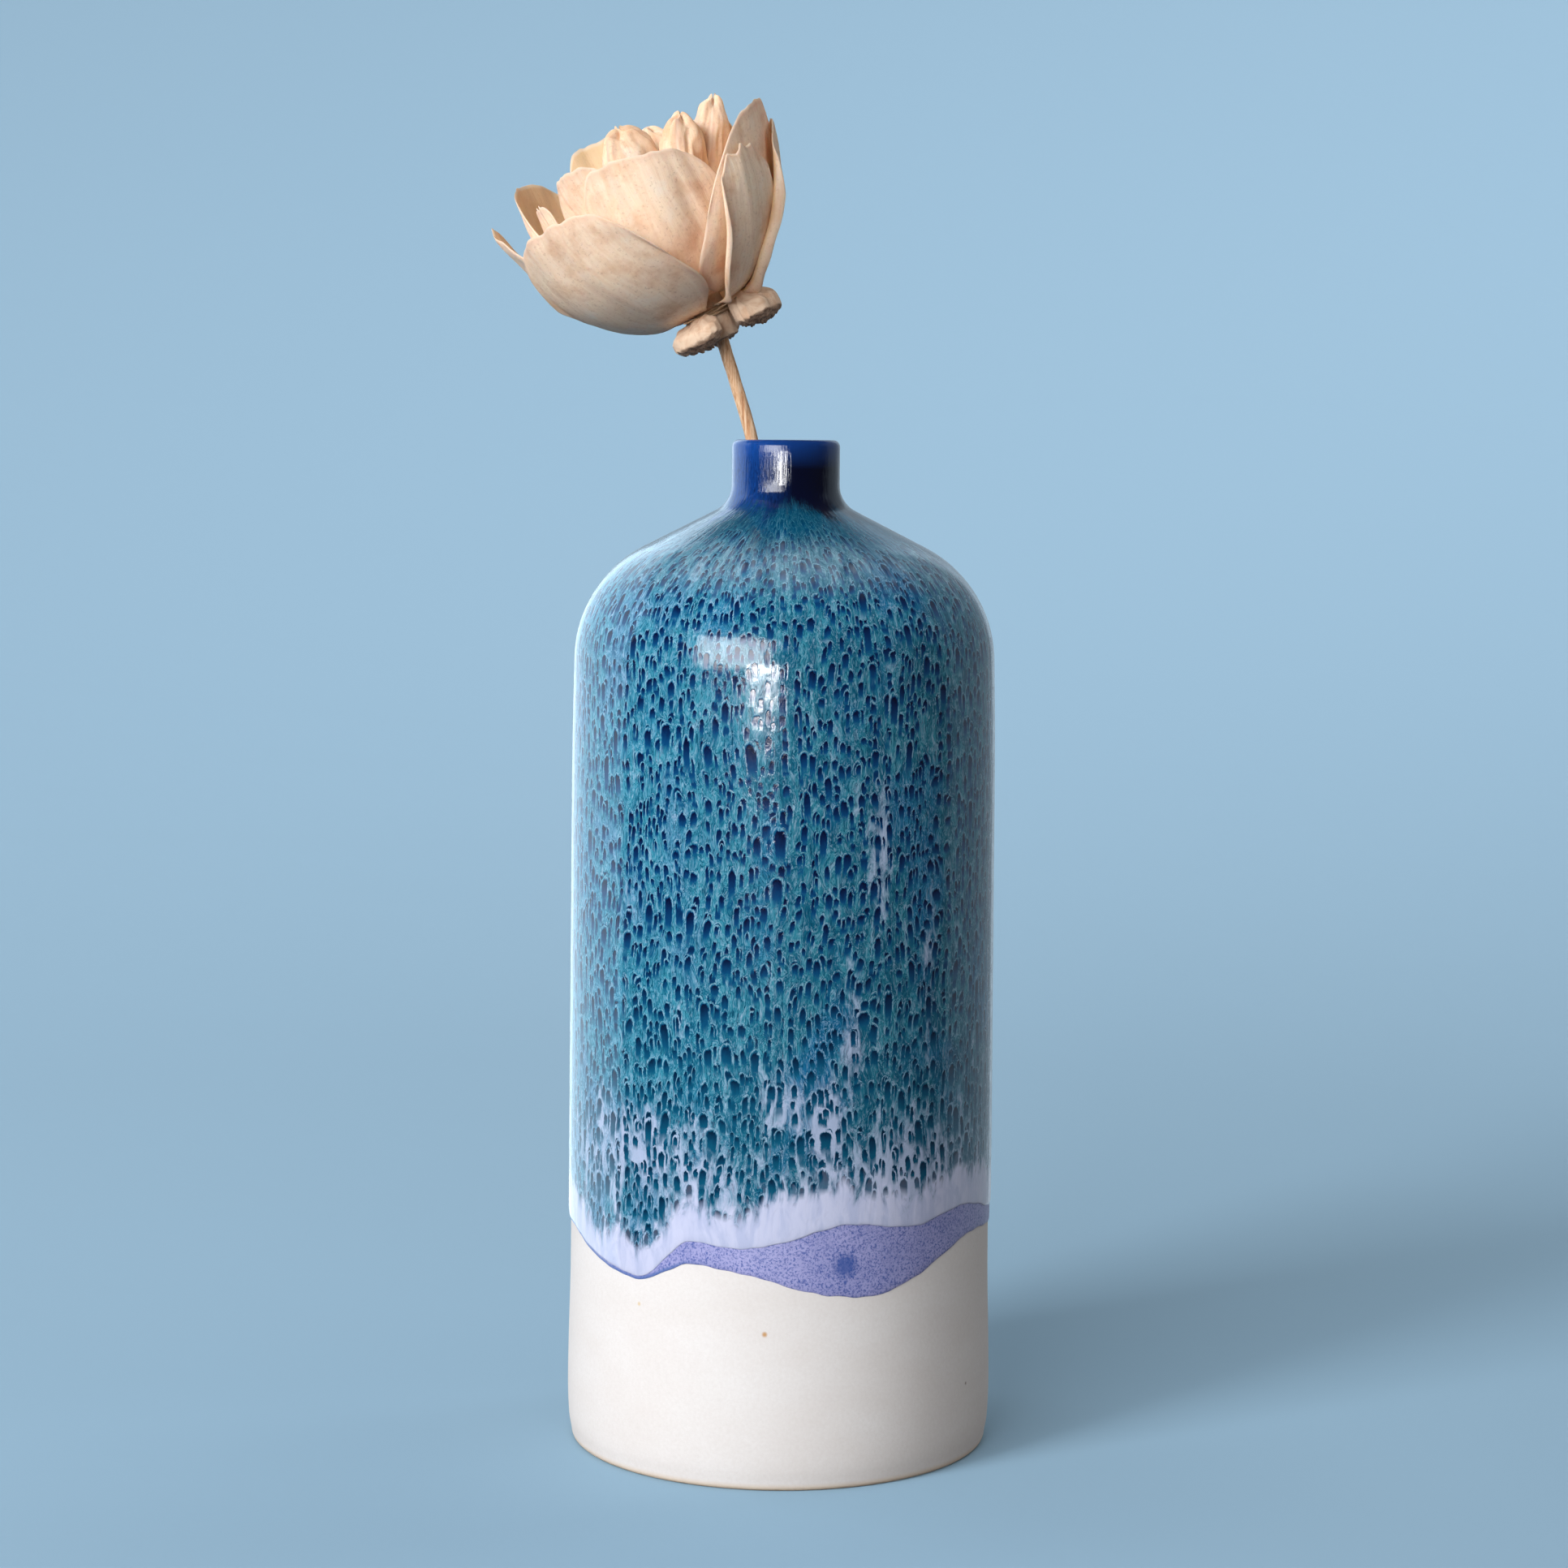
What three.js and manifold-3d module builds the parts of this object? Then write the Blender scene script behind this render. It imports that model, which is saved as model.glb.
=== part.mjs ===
// A glazed ceramic bud vase that holds one dried wood-shaving flower on a stick.
//
// Units are millimetres and +Z is up. The origin is the centre of the flat base that the vase stands on.
// The vase faces -Y, and its stem leans towards -X. Azimuths are in degrees about +Z, from +X towards +Y.
// The pot, its two glaze coats, the stick and each piece of the flower are separate solids.

import * as THREE from 'three';
import Module from 'manifold-3d';
import { mergeVertices } from 'three/addons/utils/BufferGeometryUtils.js';

// ---- the pot ----

const CLAY_RADIUS = 39.7; // of the bare clay at mid height
const SHOULDER_RADIUS = 39.1; // where the shoulder starts to turn in
const SHOULDER_HEIGHT = 148;
const SHOULDER_BEND = 23.5; // radius of the shoulder's curve
const SLOPE = 27; // degrees above level, of the shoulder where it runs up to the neck
const NECK_RADIUS = 9.6;
const NECK_BEND = 6; // radius of the hollow curve at the foot of the neck
const LIP_HEIGHT = 188.05; // centre of the full-round lip
const LIP_CENTRE = 8.825; // radius of the circle that the lip's centre runs on
const WALL = 3.5;
const FLOOR = 5;
const FLARE_RADIUS = 40; // the bare clay swells a little above its foot
const FOOT_EDGE = 1.2; // size of the rounded edge of the foot
const INSIDE_CORNER = 3.5;
const POT_SIDES = 48;

// Each coat is a skin between two offsets from the clay.
const BASE_COAT = { inside: 0.05, outside: 0.27, top: 62 };
const RUNNING_COAT = { inside: 0.32, outside: 0.5, inNeck: 178 };
const HEM_ZONE = 60; // above this height a coat is the same all round

// Crests and hollows of each coat's lower edge, as [azimuth, height].
const BASE_HEM = [
  [-170, 42.2], [-131, 36.6], [-113, 40.9], [-66, 35.3], [-26, 43.2],
  [8, 41.5], [45, 36.5], [80, 41.8], [112, 38.2], [150, 43.5],
];
const RUNNING_HEM = [
  [-170, 42.8], [-130, 37.3], [-113, 45.1], [-100, 44.5], [-71, 48.8], [-53, 47.1],
  [-35, 49], [-4, 45.5], [30, 47.5], [58, 41], [85, 47.2], [115, 43], [150, 47],
];

// ---- the stick ----

const STICK_RADIUS = 1.22;
const STICK_FOOT = [31, 5.35]; // x and z where it stands on the inside floor
const STICK_AT_LIP = [-6.15, 188.05]; // where it leans on the lip
const STICK_TOP = [-12.2, 208.2]; // where it enters the flower
const STICK_IN_CORE = 4.2;
const STICK_SIDES = 10;

// ---- the flower ----

const HEAD_ORIGIN = [-13, 0, 211];
const HEAD_LEAN = 27; // degrees from upright, towards -X
const PETAL_THICKNESS = 0.6;
const PINWHEEL = 0.7; // each petal's one edge stands out this far and its other edge in, to pass its neighbours
const CLAW = 1.5; // half the width of a petal where it leaves the core
const CORE_WAIST = 2.9;
const BORE_CLEARANCE = 0.3;

// Where the petals of each ring start on the core: radius and height in the head's own frame.
const RINGS = [
  { radius: 3.6, height: 3.1 },
  { radius: 3.6, height: 5.3 },
  { radius: 4.4, height: 8 },
];

// Azimuth, half width, and the radius and height of the tip, in the head's own frame. A belly under 1 makes the
// petal's side straighter, and a slant makes its end lower on the side of the higher azimuth.
const PETALS = [
  { name: 'petal_front_left', ring: 0, azimuth: -142, half: 16.5, tipRadius: 29.5, tipHeight: 32, belly: 0.95 },
  { name: 'petal_left', ring: 0, azimuth: 170, half: 13, tipRadius: 29, tipHeight: 35.5, belly: 0.92 },
  { name: 'petal_back_left', ring: 0, azimuth: 116, half: 13, tipRadius: 27.5, tipHeight: 32, belly: 0.92 },
  { name: 'petal_back_right', ring: 0, azimuth: 62, half: 11.5, tipRadius: 26.5, tipHeight: 31, belly: 0.95 },
  { name: 'petal_far_right', ring: 0, azimuth: 8, half: 9, tipRadius: 26, tipHeight: 28, belly: 0.88 },
  { name: 'petal_front_right', ring: 0, azimuth: -49, half: 9, tipRadius: 27.5, tipHeight: 27.5, belly: 0.95 },
  { name: 'petal_front', ring: 1, azimuth: -88, half: 14.5, tipRadius: 20.5, tipHeight: 35, slant: 0.09 },
  { name: 'petal_right', ring: 1, azimuth: -31, half: 12, tipRadius: 26, tipHeight: 36.5, belly: 0.92, slant: -0.05 },
  { name: 'petal_back', ring: 1, azimuth: 38, half: 8.8, tipRadius: 18.5, tipHeight: 37 },
  { name: 'petal_rear_fold', ring: 1, azimuth: 87, half: 10.5, tipRadius: 20.5, tipHeight: 39.5 },
  { name: 'petal_left_cup', ring: 1, azimuth: 140, half: 15, tipRadius: 25.5, tipHeight: 40 },
  { name: 'petal_mid_left', ring: 2, azimuth: -134, half: 8.5, tipRadius: 19.2, tipHeight: 37 },
  { name: 'petal_inner_left', ring: 2, azimuth: 177, half: 4.5, tipRadius: 18.4, tipHeight: 36 },
];

// Crumpled inner petals in the heart of the flower: foot, top, and half sizes across and front to back.
const PODS = [
  { name: 'heart_petal_left', foot: [-1.8, -1.8, 13], top: [-0.5, -3.5, 40.5], half: [7.6, 4.8] },
  { name: 'heart_petal_middle', foot: [1.6, -1.2, 13.2], top: [12.6, -3, 38.5], half: [4.2, 4.2] },
  { name: 'heart_petal_right', foot: [2.6, 1.6, 13.4], top: [19, 3.5, 38.5], half: [3.8, 4] },
  { name: 'heart_petal_back', foot: [-0.8, 2.2, 13], top: [5, 8, 38.5], half: [6.2, 3.6] },
];

const LOBE = { inner: 3.9, outer: 10.2, bottom: -3, depth: 2.9, bevel: 0.8 };
const LOBES = [
  { name: 'collar_lobe_right', azimuth: -12, halfAngle: 48 },
  { name: 'collar_lobe_left', azimuth: -132, halfAngle: 48 },
  { name: 'collar_lobe_back', azimuth: 107, halfAngle: 46 },
];
const THREAD = { ring: 3.7, radius: 0.3, height: 1.9, turns: 2 };
const LOOSE_RADIUS = 0.22;
const LOOSE_ENDS = [
  { name: 'thread_end_left', route: [[-1.6, -4.3, 2], [-3, -5.2, 2.2], [-4.4, -6, 2.2], [-5.6, -7.2, 2.2]] },
  { name: 'thread_end_right', route: [[1.4, -4.4, 2], [2.6, -5.4, 2.2], [4.4, -6.2, 2.2], [5.2, -7.6, 2.2]] },
];

// ---- materials ----

/** A plain finish: colour, roughness and metalness. */
function finish(color, roughness) {
  return new THREE.MeshStandardMaterial({ color, roughness, metalness: 0 });
}

const CLAY = () => finish(0xe4e0df, 0.8);
const VIOLET_GLAZE = () => finish(0x717ba9, 0.35);
const TEAL_GLAZE = () => finish(0x28718f, 0.15);
const STICK_WOOD = () => finish(0xb98c63, 0.8);
const PETAL_SHAVING = () => finish(0xe7c4a7, 0.85);
const HEART_SHAVING = () => finish(0xdcb893, 0.85);
const COTTON = () => finish(0xd9c3a4, 0.9);

// ---- helpers ----

const radians = THREE.MathUtils.degToRad;
const wasm = await Module();
wasm.setup();

/** A named piece. */
function piece(name, geometry, material) {
  const mesh = new THREE.Mesh(geometry, material);
  mesh.name = name;
  return mesh;
}

/** Turns a profile of [radius, height] points about +Z. */
function turned(points, sides) {
  const profile = points.map(([radius, height]) => new THREE.Vector2(radius, height));
  return new THREE.LatheGeometry(profile, sides).rotateX(Math.PI / 2);
}

/** The points along a path, as [radius, height]. */
function pointsOf(path, divisions) {
  return path.getPoints(divisions).map((p) => [p.x, p.y]);
}

/** A closed geometry as a manifold solid. */
function solidOf(geometry) {
  const bare = geometry.clone();
  bare.deleteAttribute('normal');
  bare.deleteAttribute('uv');
  const merged = mergeVertices(bare, 1e-4);
  return new wasm.Manifold(new wasm.Mesh({
    numProp: 3,
    vertProperties: new Float32Array(merged.attributes.position.array),
    triVerts: new Uint32Array(merged.index.array),
  }));
}

/** A manifold solid back as a geometry. */
function geometryOf(solid) {
  const mesh = solid.getMesh();
  const geometry = new THREE.BufferGeometry();
  geometry.setAttribute('position', new THREE.BufferAttribute(mesh.vertProperties, 3));
  geometry.setIndex(new THREE.BufferAttribute(mesh.triVerts, 1));
  geometry.computeVertexNormals();
  return geometry;
}

/** A round bar along a curve, with flat ends. */
function bar(curve, radius, steps, sides) {
  const section = new THREE.Shape();
  section.absarc(0, 0, radius, 0, Math.PI * 2, false);
  return new THREE.ExtrudeGeometry(section, {
    extrudePath: curve,
    steps,
    curveSegments: sides / 2,
    bevelEnabled: false,
  });
}

/** Height at an azimuth on a wave that runs smoothly between the given crests and hollows, all the way round. */
function waveHeight(wave, azimuth) {
  const laps = wave.map(([a, z]) => [a, z]).concat([[wave[0][0] + 360, wave[0][1]]]);
  const at = azimuth < wave[0][0] ? azimuth + 360 : azimuth;
  const next = laps.findIndex(([a]) => a > at);
  const [a0, z0] = laps[next - 1];
  const [a1, z1] = laps[next];
  const blend = (1 - Math.cos(Math.PI * (at - a0) / (a1 - a0))) / 2;
  return z0 + (z1 - z0) * blend;
}

// ---- the pot and its coats ----

/**
 * The outside of the pot, moved out by an offset: up the body from a height, round the shoulder, up the neck,
 * over the lip and down the inside of the neck to another height.
 */
function potSkin(offset, from, inNeck) {
  const slope = radians(SLOPE);
  const bend = SHOULDER_BEND + offset;
  const centre = SHOULDER_RADIUS - SHOULDER_BEND;
  const neck = NECK_RADIUS + offset;
  const fillet = NECK_BEND - offset;
  const slopeStart = [centre + bend * Math.sin(slope), SHOULDER_HEIGHT + bend * Math.cos(slope)];
  const slopeEnd = neck + fillet * (1 - Math.sin(slope));
  const slopeRise = (slopeStart[0] - slopeEnd) * Math.tan(slope);
  const neckFoot = slopeStart[1] + slopeRise + fillet * Math.cos(slope);
  const lip = NECK_RADIUS + offset - LIP_CENTRE;
  const path = new THREE.Path();
  path.moveTo(CLAY_RADIUS + offset, from);
  path.lineTo(CLAY_RADIUS + offset, 100);
  path.lineTo(SHOULDER_RADIUS + offset, SHOULDER_HEIGHT);
  path.absarc(centre, SHOULDER_HEIGHT, bend, 0, Math.PI / 2 - slope, false);
  path.absarc(neck + fillet, neckFoot, fillet, Math.PI * 1.5 - slope, Math.PI, true);
  path.absarc(LIP_CENTRE, LIP_HEIGHT, lip, 0, Math.PI, false);
  path.lineTo(LIP_CENTRE - lip, inNeck);
  return pointsOf(path, 3);
}

/** The thrown pot: flat foot, straight body, round shoulder, narrow neck and a full-round lip, hollow inside. */
function makePot() {
  const slope = radians(SLOPE);
  const insideRadius = CLAY_RADIUS - WALL;
  const insideBend = SHOULDER_BEND - WALL;
  const centre = SHOULDER_RADIUS - SHOULDER_BEND;
  const foot = new THREE.Path();
  foot.moveTo(0, 0);
  foot.lineTo(FLARE_RADIUS - FOOT_EDGE, 0);
  foot.quadraticCurveTo(FLARE_RADIUS, 0, FLARE_RADIUS, FOOT_EDGE);
  foot.lineTo(FLARE_RADIUS, 16);
  const neckInside = 2 * LIP_CENTRE - NECK_RADIUS;
  const slopeTop = [centre + insideBend * Math.sin(slope), SHOULDER_HEIGHT + insideBend * Math.cos(slope)];
  const neckInsideFoot = slopeTop[1] + (slopeTop[0] - neckInside) * Math.tan(slope);
  const inside = new THREE.Path();
  inside.moveTo(neckInside, neckInsideFoot);
  inside.absarc(centre, SHOULDER_HEIGHT, insideBend, Math.PI / 2 - slope, 0, true);
  inside.lineTo(insideRadius, 100);
  inside.lineTo(insideRadius, FLOOR + INSIDE_CORNER);
  inside.absarc(insideRadius - INSIDE_CORNER, FLOOR + INSIDE_CORNER, INSIDE_CORNER, 0, -Math.PI / 2, true);
  inside.lineTo(0, FLOOR);
  const outside = potSkin(0, 32, neckInsideFoot + 2);
  const profile = pointsOf(foot, 3).concat(outside, pointsOf(inside, 2));
  return piece('vase_body', turned(profile, POT_SIDES), CLAY());
}

/** A coat between two skins, whose lower edge follows a wave. */
function coat(name, outer, inner, wave, material) {
  const edge = outer[0][1];
  const geometry = turned(outer.concat(inner.reverse(), [outer[0]]), POT_SIDES);
  const position = geometry.attributes.position;
  for (let i = 0; i < position.count; i += 1) {
    const azimuth = THREE.MathUtils.radToDeg(Math.atan2(position.getY(i), position.getX(i)));
    const height = position.getZ(i);
    const share = THREE.MathUtils.clamp((HEM_ZONE - height) / (HEM_ZONE - edge), 0, 1);
    const target = waveHeight(wave, azimuth);
    position.setZ(i, height + (target - edge) * share);
  }
  return piece(name, geometry, material);
}

/** The first coat, which shows as a speckled violet band along the hem. */
function makeBaseCoat() {
  const { inside, outside, top } = BASE_COAT;
  const skin = (offset) => [[CLAY_RADIUS + offset, 40], [CLAY_RADIUS + offset, top]];
  return coat('base_glaze', skin(outside), skin(inside), BASE_HEM, VIOLET_GLAZE());
}

/** The second coat, which ran down over the first and over the lip into the neck. */
function makeRunningCoat() {
  const { inside, outside, inNeck } = RUNNING_COAT;
  const skin = (offset) => {
    const points = potSkin(offset, 46, inNeck);
    points.splice(1, 0, [CLAY_RADIUS + offset, HEM_ZONE]);
    return points;
  };
  return coat('running_glaze', skin(outside), skin(inside), RUNNING_HEM, TEAL_GLAZE());
}

// ---- the stick ----

/** The direction of the straight part of the stick, from its foot up. */
function stickDirection() {
  const [x0, z0] = STICK_FOOT;
  const [x1, z1] = STICK_AT_LIP;
  return new THREE.Vector3(x1 - x0, 0, z1 - z0).normalize();
}

/** The direction in which the stick enters the flower. */
function topDirection() {
  const lean = radians(15);
  return new THREE.Vector3(-Math.sin(lean), 0, Math.cos(lean));
}

/** The stick: straight inside the vase, a little bowed above the lip, and straight again into the core. */
function makeStick() {
  const foot = new THREE.Vector3(STICK_FOOT[0], 0, STICK_FOOT[1]);
  const lip = new THREE.Vector3(STICK_AT_LIP[0], 0, STICK_AT_LIP[1]);
  const top = new THREE.Vector3(STICK_TOP[0], 0, STICK_TOP[1]);
  const straight = new THREE.LineCurve3(foot, lip);
  const end = top.clone().addScaledVector(topDirection(), STICK_IN_CORE);
  const bowed = new THREE.CubicBezierCurve3(
    lip,
    lip.clone().addScaledVector(stickDirection(), 7),
    top.clone().addScaledVector(topDirection(), -7),
    end,
  );
  const stations = [0, 0.5, 1].map((t) => straight.getPoint(t));
  const curved = [0.2, 0.4, 0.6, 0.8, 1].map((t) => bowed.getPoint(t));
  const curve = new THREE.CatmullRomCurve3(stations.concat(curved), false, 'centripetal');
  return piece('stick', bar(curve, STICK_RADIUS, 24, STICK_SIDES), STICK_WOOD());
}

// ---- the flower ----

/** The radius and height on a petal's middle line, at a share of its length. */
function cupPoint({ ring, tipRadius, tipHeight, belly = 1 }, share) {
  const root = RINGS[ring];
  const curve = new THREE.CubicBezierCurve(
    new THREE.Vector2(root.radius, root.height),
    new THREE.Vector2(0.43 * tipRadius, root.height - 1.2),
    new THREE.Vector2(belly * tipRadius, 0.4 * tipHeight),
    new THREE.Vector2(tipRadius, tipHeight),
  );
  return curve.getPoint(share);
}

/** Half the width of a petal at a share of its length: a narrow claw that widens to a broad blade. */
function petalHalfWidth(half, share) {
  const open = THREE.MathUtils.smoothstep(share, 0, 0.62);
  const close = THREE.MathUtils.smoothstep(share, 0.7, 1);
  return (CLAW + (half - CLAW) * open) * (1 - 0.22 * close);
}

/** A petal: a thin shaving that cups round the head's axis, with a rounded end. */
function petal(data) {
  const across = 6;
  const along = 7;
  const { slant = 0 } = data;
  const point = (s, t, side) => {
    const share = t * (1 - 0.16 * s * s - slant * s);
    const middle = cupPoint(data, share);
    const ahead = cupPoint(data, share + 0.01);
    const tangent = ahead.clone().sub(middle).normalize();
    const swing = s * petalHalfWidth(data.half, share) / Math.max(middle.x, 3);
    const grow = THREE.MathUtils.smoothstep(share, 0, 0.3);
    const out = side * PETAL_THICKNESS / 2 - s * PINWHEEL * grow;
    const radius = middle.x + out * tangent.y;
    const height = middle.y - out * tangent.x;
    const azimuth = radians(data.azimuth) + swing;
    return new THREE.Vector3(radius * Math.cos(azimuth), radius * Math.sin(azimuth), height);
  };
  const sheet = (side) => {
    const rows = [];
    for (let j = 0; j <= along; j += 1) {
      for (let i = 0; i <= across; i += 1) {
        rows.push(point(2 * i / across - 1, j / along, side));
      }
    }
    return rows;
  };
  return sheetSolid(sheet(1), sheet(-1), across, along);
}

/** A closed solid between an outer and an inner grid of points with the same rows and columns. */
function sheetSolid(outer, inner, across, along) {
  const row = across + 1;
  const shift = outer.length;
  const index = [];
  const quad = (a, b, c, d) => index.push(a, b, c, a, c, d);
  for (let j = 0; j < along; j += 1) {
    for (let i = 0; i < across; i += 1) {
      const a = j * row + i;
      quad(a, a + 1, a + row + 1, a + row);
      quad(a + shift, a + row + shift, a + row + 1 + shift, a + 1 + shift);
    }
  }
  const rim = [];
  for (let i = 0; i < across; i += 1) rim.push(i);
  for (let j = 0; j < along; j += 1) rim.push(j * row + across);
  for (let i = across; i > 0; i -= 1) rim.push(along * row + i);
  for (let j = along; j > 0; j -= 1) rim.push(j * row);
  rim.forEach((a, k) => {
    const b = rim[(k + 1) % rim.length];
    quad(b, a, a + shift, b + shift);
  });
  const geometry = new THREE.BufferGeometry().setFromPoints(outer.concat(inner));
  geometry.setIndex(index);
  geometry.computeVertexNormals();
  return geometry;
}

/** A crumpled inner petal, closed to a bud that is narrow at its foot and widest above its middle. */
function pod({ foot, top, half }) {
  const from = new THREE.Vector3(...foot);
  const along = new THREE.Vector3(...top).sub(from);
  const geometry = new THREE.SphereGeometry(1, 10, 8).rotateX(Math.PI / 2);
  const position = geometry.attributes.position;
  for (let i = 0; i < position.count; i += 1) {
    const taper = 0.6 + 0.4 * position.getZ(i);
    position.setXY(i, position.getX(i) * taper, position.getY(i) * taper);
  }
  geometry.scale(half[0], half[1], along.length() / 2);
  const turn = new THREE.Quaternion().setFromUnitVectors(new THREE.Vector3(0, 0, 1), along.clone().normalize());
  const middle = from.addScaledVector(along, 0.5);
  return geometry.applyQuaternion(turn).translate(middle.x, middle.y, middle.z);
}

/** The pith core that the petals are bound to, with the hole that the stick is pushed into. */
function makeCore(toHead) {
  const profile = [
    [0, -3.3], [CORE_WAIST, -3.3], [CORE_WAIST, 4.4], [3.2, 8], [3.2, 10], [0, 12.4],
  ];
  const start = new THREE.Vector3(STICK_TOP[0], 0, STICK_TOP[1]);
  const reach = STICK_IN_CORE + BORE_CLEARANCE;
  const hole = new THREE.LineCurve3(
    start.clone().addScaledVector(topDirection(), -6),
    start.clone().addScaledVector(topDirection(), reach),
  );
  const bore = bar(hole, STICK_RADIUS + BORE_CLEARANCE, 1, 16).applyMatrix4(toHead);
  const drilled = solidOf(turned(profile, 16)).subtract(solidOf(bore));
  return piece('flower_core', geometryOf(drilled), HEART_SHAVING());
}

/** One butt end of the bundle, folded out below the binding: a thick sector with rounded edges. */
function lobe({ azimuth, halfAngle }) {
  const { inner, outer, bottom, depth, bevel } = LOBE;
  const a0 = radians(azimuth - halfAngle);
  const a1 = radians(azimuth + halfAngle);
  const shape = new THREE.Shape();
  shape.absarc(0, 0, outer, a0, a1, false);
  shape.absarc(0, 0, inner + bevel, a1, a0, true);
  const geometry = new THREE.ExtrudeGeometry(shape, {
    depth,
    bevelThickness: bevel,
    bevelSize: bevel,
    bevelSegments: 2,
    curveSegments: 3,
  });
  return geometry.translate(0, 0, bottom + bevel);
}

/** The thread wound round the waist of the bundle, its turns lying against each other. */
function makeThread() {
  const { ring, radius, height, turns } = THREAD;
  const steps = 4;
  const outer = [];
  const inner = [];
  for (let turn = 0; turn < turns; turn += 1) {
    const z = height + (turn - (turns - 1) / 2) * 2 * radius;
    for (let k = 1; k < steps; k += 1) {
      const angle = Math.PI * (k / steps - 0.5);
      outer.push([ring + radius * Math.cos(angle), z + radius * Math.sin(angle)]);
    }
  }
  inner.push([ring - radius, outer[outer.length - 1][1]], [ring - radius, outer[0][1]]);
  const profile = outer.concat(inner, [outer[0]]);
  return piece('binding_thread', turned(profile, 20), COTTON());
}

/** A loose end of the thread. */
function looseEnd({ name, route }) {
  const curve = new THREE.CatmullRomCurve3(route.map((p) => new THREE.Vector3(...p)));
  return piece(name, bar(curve, LOOSE_RADIUS, 6, 6), COTTON());
}

/** The whole flower, in a frame that leans with it. */
function makeFlower() {
  const head = new THREE.Group();
  head.position.set(...HEAD_ORIGIN);
  head.rotation.y = -radians(HEAD_LEAN);
  head.updateMatrixWorld();
  head.add(makeCore(head.matrixWorld.clone().invert()));
  PETALS.forEach((data) => head.add(piece(data.name, petal(data), PETAL_SHAVING())));
  PODS.forEach((data) => head.add(piece(data.name, pod(data), HEART_SHAVING())));
  LOBES.forEach((data) => head.add(piece(data.name, lobe(data), HEART_SHAVING())));
  head.add(makeThread());
  LOOSE_ENDS.forEach((data) => head.add(looseEnd(data)));
  return head;
}

const group = new THREE.Group();
group.add(makePot(), makeBaseCoat(), makeRunningCoat(), makeStick(), makeFlower());

export default group;
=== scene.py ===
"""The looks of a glazed bud vase that holds one dried flower of wood shavings.

The file is laid out as a Blender add-on: settings, one operator for each piece or group of like pieces, and a
panel that lists them. Sizes are in millimetres unless a name or a comment says otherwise, +Z is up, and the origin
is the centre of the base that the vase stands on. Azimuths are in degrees about +Z, from +X towards +Y.
"""

import math
from functools import partial

import bpy
from bpy.props import FloatProperty, IntProperty, PointerProperty, StringProperty
from mathutils import Matrix, Vector, noise


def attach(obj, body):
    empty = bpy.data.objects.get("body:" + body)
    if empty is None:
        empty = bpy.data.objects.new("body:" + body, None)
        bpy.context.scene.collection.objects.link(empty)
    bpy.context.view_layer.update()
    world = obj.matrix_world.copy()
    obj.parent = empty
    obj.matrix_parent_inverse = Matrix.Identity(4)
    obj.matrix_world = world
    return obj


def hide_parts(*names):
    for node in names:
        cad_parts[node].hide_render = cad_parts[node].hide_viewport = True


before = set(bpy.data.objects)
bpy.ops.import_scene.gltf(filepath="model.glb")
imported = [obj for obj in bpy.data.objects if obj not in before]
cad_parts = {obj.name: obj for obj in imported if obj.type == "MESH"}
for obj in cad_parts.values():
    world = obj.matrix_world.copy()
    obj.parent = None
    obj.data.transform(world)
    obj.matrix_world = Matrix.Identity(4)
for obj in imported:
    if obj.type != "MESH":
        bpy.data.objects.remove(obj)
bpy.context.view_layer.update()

bl_info = {
    "name": "Bud vase with a dried flower",
    "version": (1, 0, 0),
    "blender": (4, 5, 0),
    "location": "3D Viewport > Sidebar > Bud vase",
    "description": "Builds a reactive-glazed bud vase and its dried wood-shaving flower",
    "category": "Add Mesh",
}

MM = 0.001

# ---- the pot ----

# Radius of the bare clay by height, from the foot to where the shoulder starts to turn in.
WALL_STATIONS = [(1.4, 39.55), (4, 40.0), (10, 40.25), (20, 40.1), (32, 39.8), (60, 39.68), (100, 39.48),
                 (133, 39.3), (148, 39.0)]
SHOULDER_HEIGHT = 148
SHOULDER_BEND = 23.4
SLOPE = 27  # degrees above level, of the shoulder where it runs up to the neck
NECK_RADIUS = 9.6
NECK_BEND = 6
LIP_HEIGHT = 188.05  # centre of the full-round lip
LIP_CENTRE = 8.825
WALL = 3.5
FLOOR = 5
FOOT_RADIUS = 38.6  # of the flat that it stands on

BASE_COAT = {"edge": 40, "inside": 0.05, "outside": 0.27, "top": 62}
RUNNING_COAT = {"edge": 46, "inside": 0.3, "outside": 0.52, "in_neck": 178}
HEM_ZONE = 60  # above this height a coat is the same all round
BEAD = 1.6  # height over which a coat thickens from its lower edge to its full thickness

# Crests and hollows of each coat's lower edge, as (azimuth, height).
BASE_HEM = [(-170, 42.2), (-131, 36.6), (-113, 40.9), (-66, 35.3), (-26, 43.2), (8, 41.5), (45, 36.5), (80, 41.8),
            (112, 38.2), (150, 43.5)]
RUNNING_HEM = [(-170, 42.8), (-130, 37.3), (-113, 45.1), (-100, 44.5), (-71, 48.8), (-53, 47.1), (-35, 49),
               (-4, 45.5), (30, 47.5), (58, 41), (85, 47.2), (115, 43), (150, 47)]

POT_ROUND = 251.0  # distance round the pot
GLAZE_RING = 40.0  # radius of the ring on which the glaze's noise has no seam

# Where lilac white breaks through the running glaze: azimuth, height, half size across and down, and strength.
LILAC_PATCHES = [(-64, 117, 2.5, 14, 0.9), (-71, 82, 2, 9, 1), (-78, 66, 3, 9, 1), (-55, 56, 11, 8, 0.9),
                 (-89, 72, 6, 6, 0.5), (-113, 58, 6, 6, 0.5), (-48, 92, 2, 12, 0.7), (-132, 62, 14, 9, 0.75),
                 (15, 90, 3, 14, 0.8), (60, 62, 8, 9, 0.9), (95, 110, 3, 14, 0.7), (150, 70, 6, 12, 0.8)]
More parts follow.
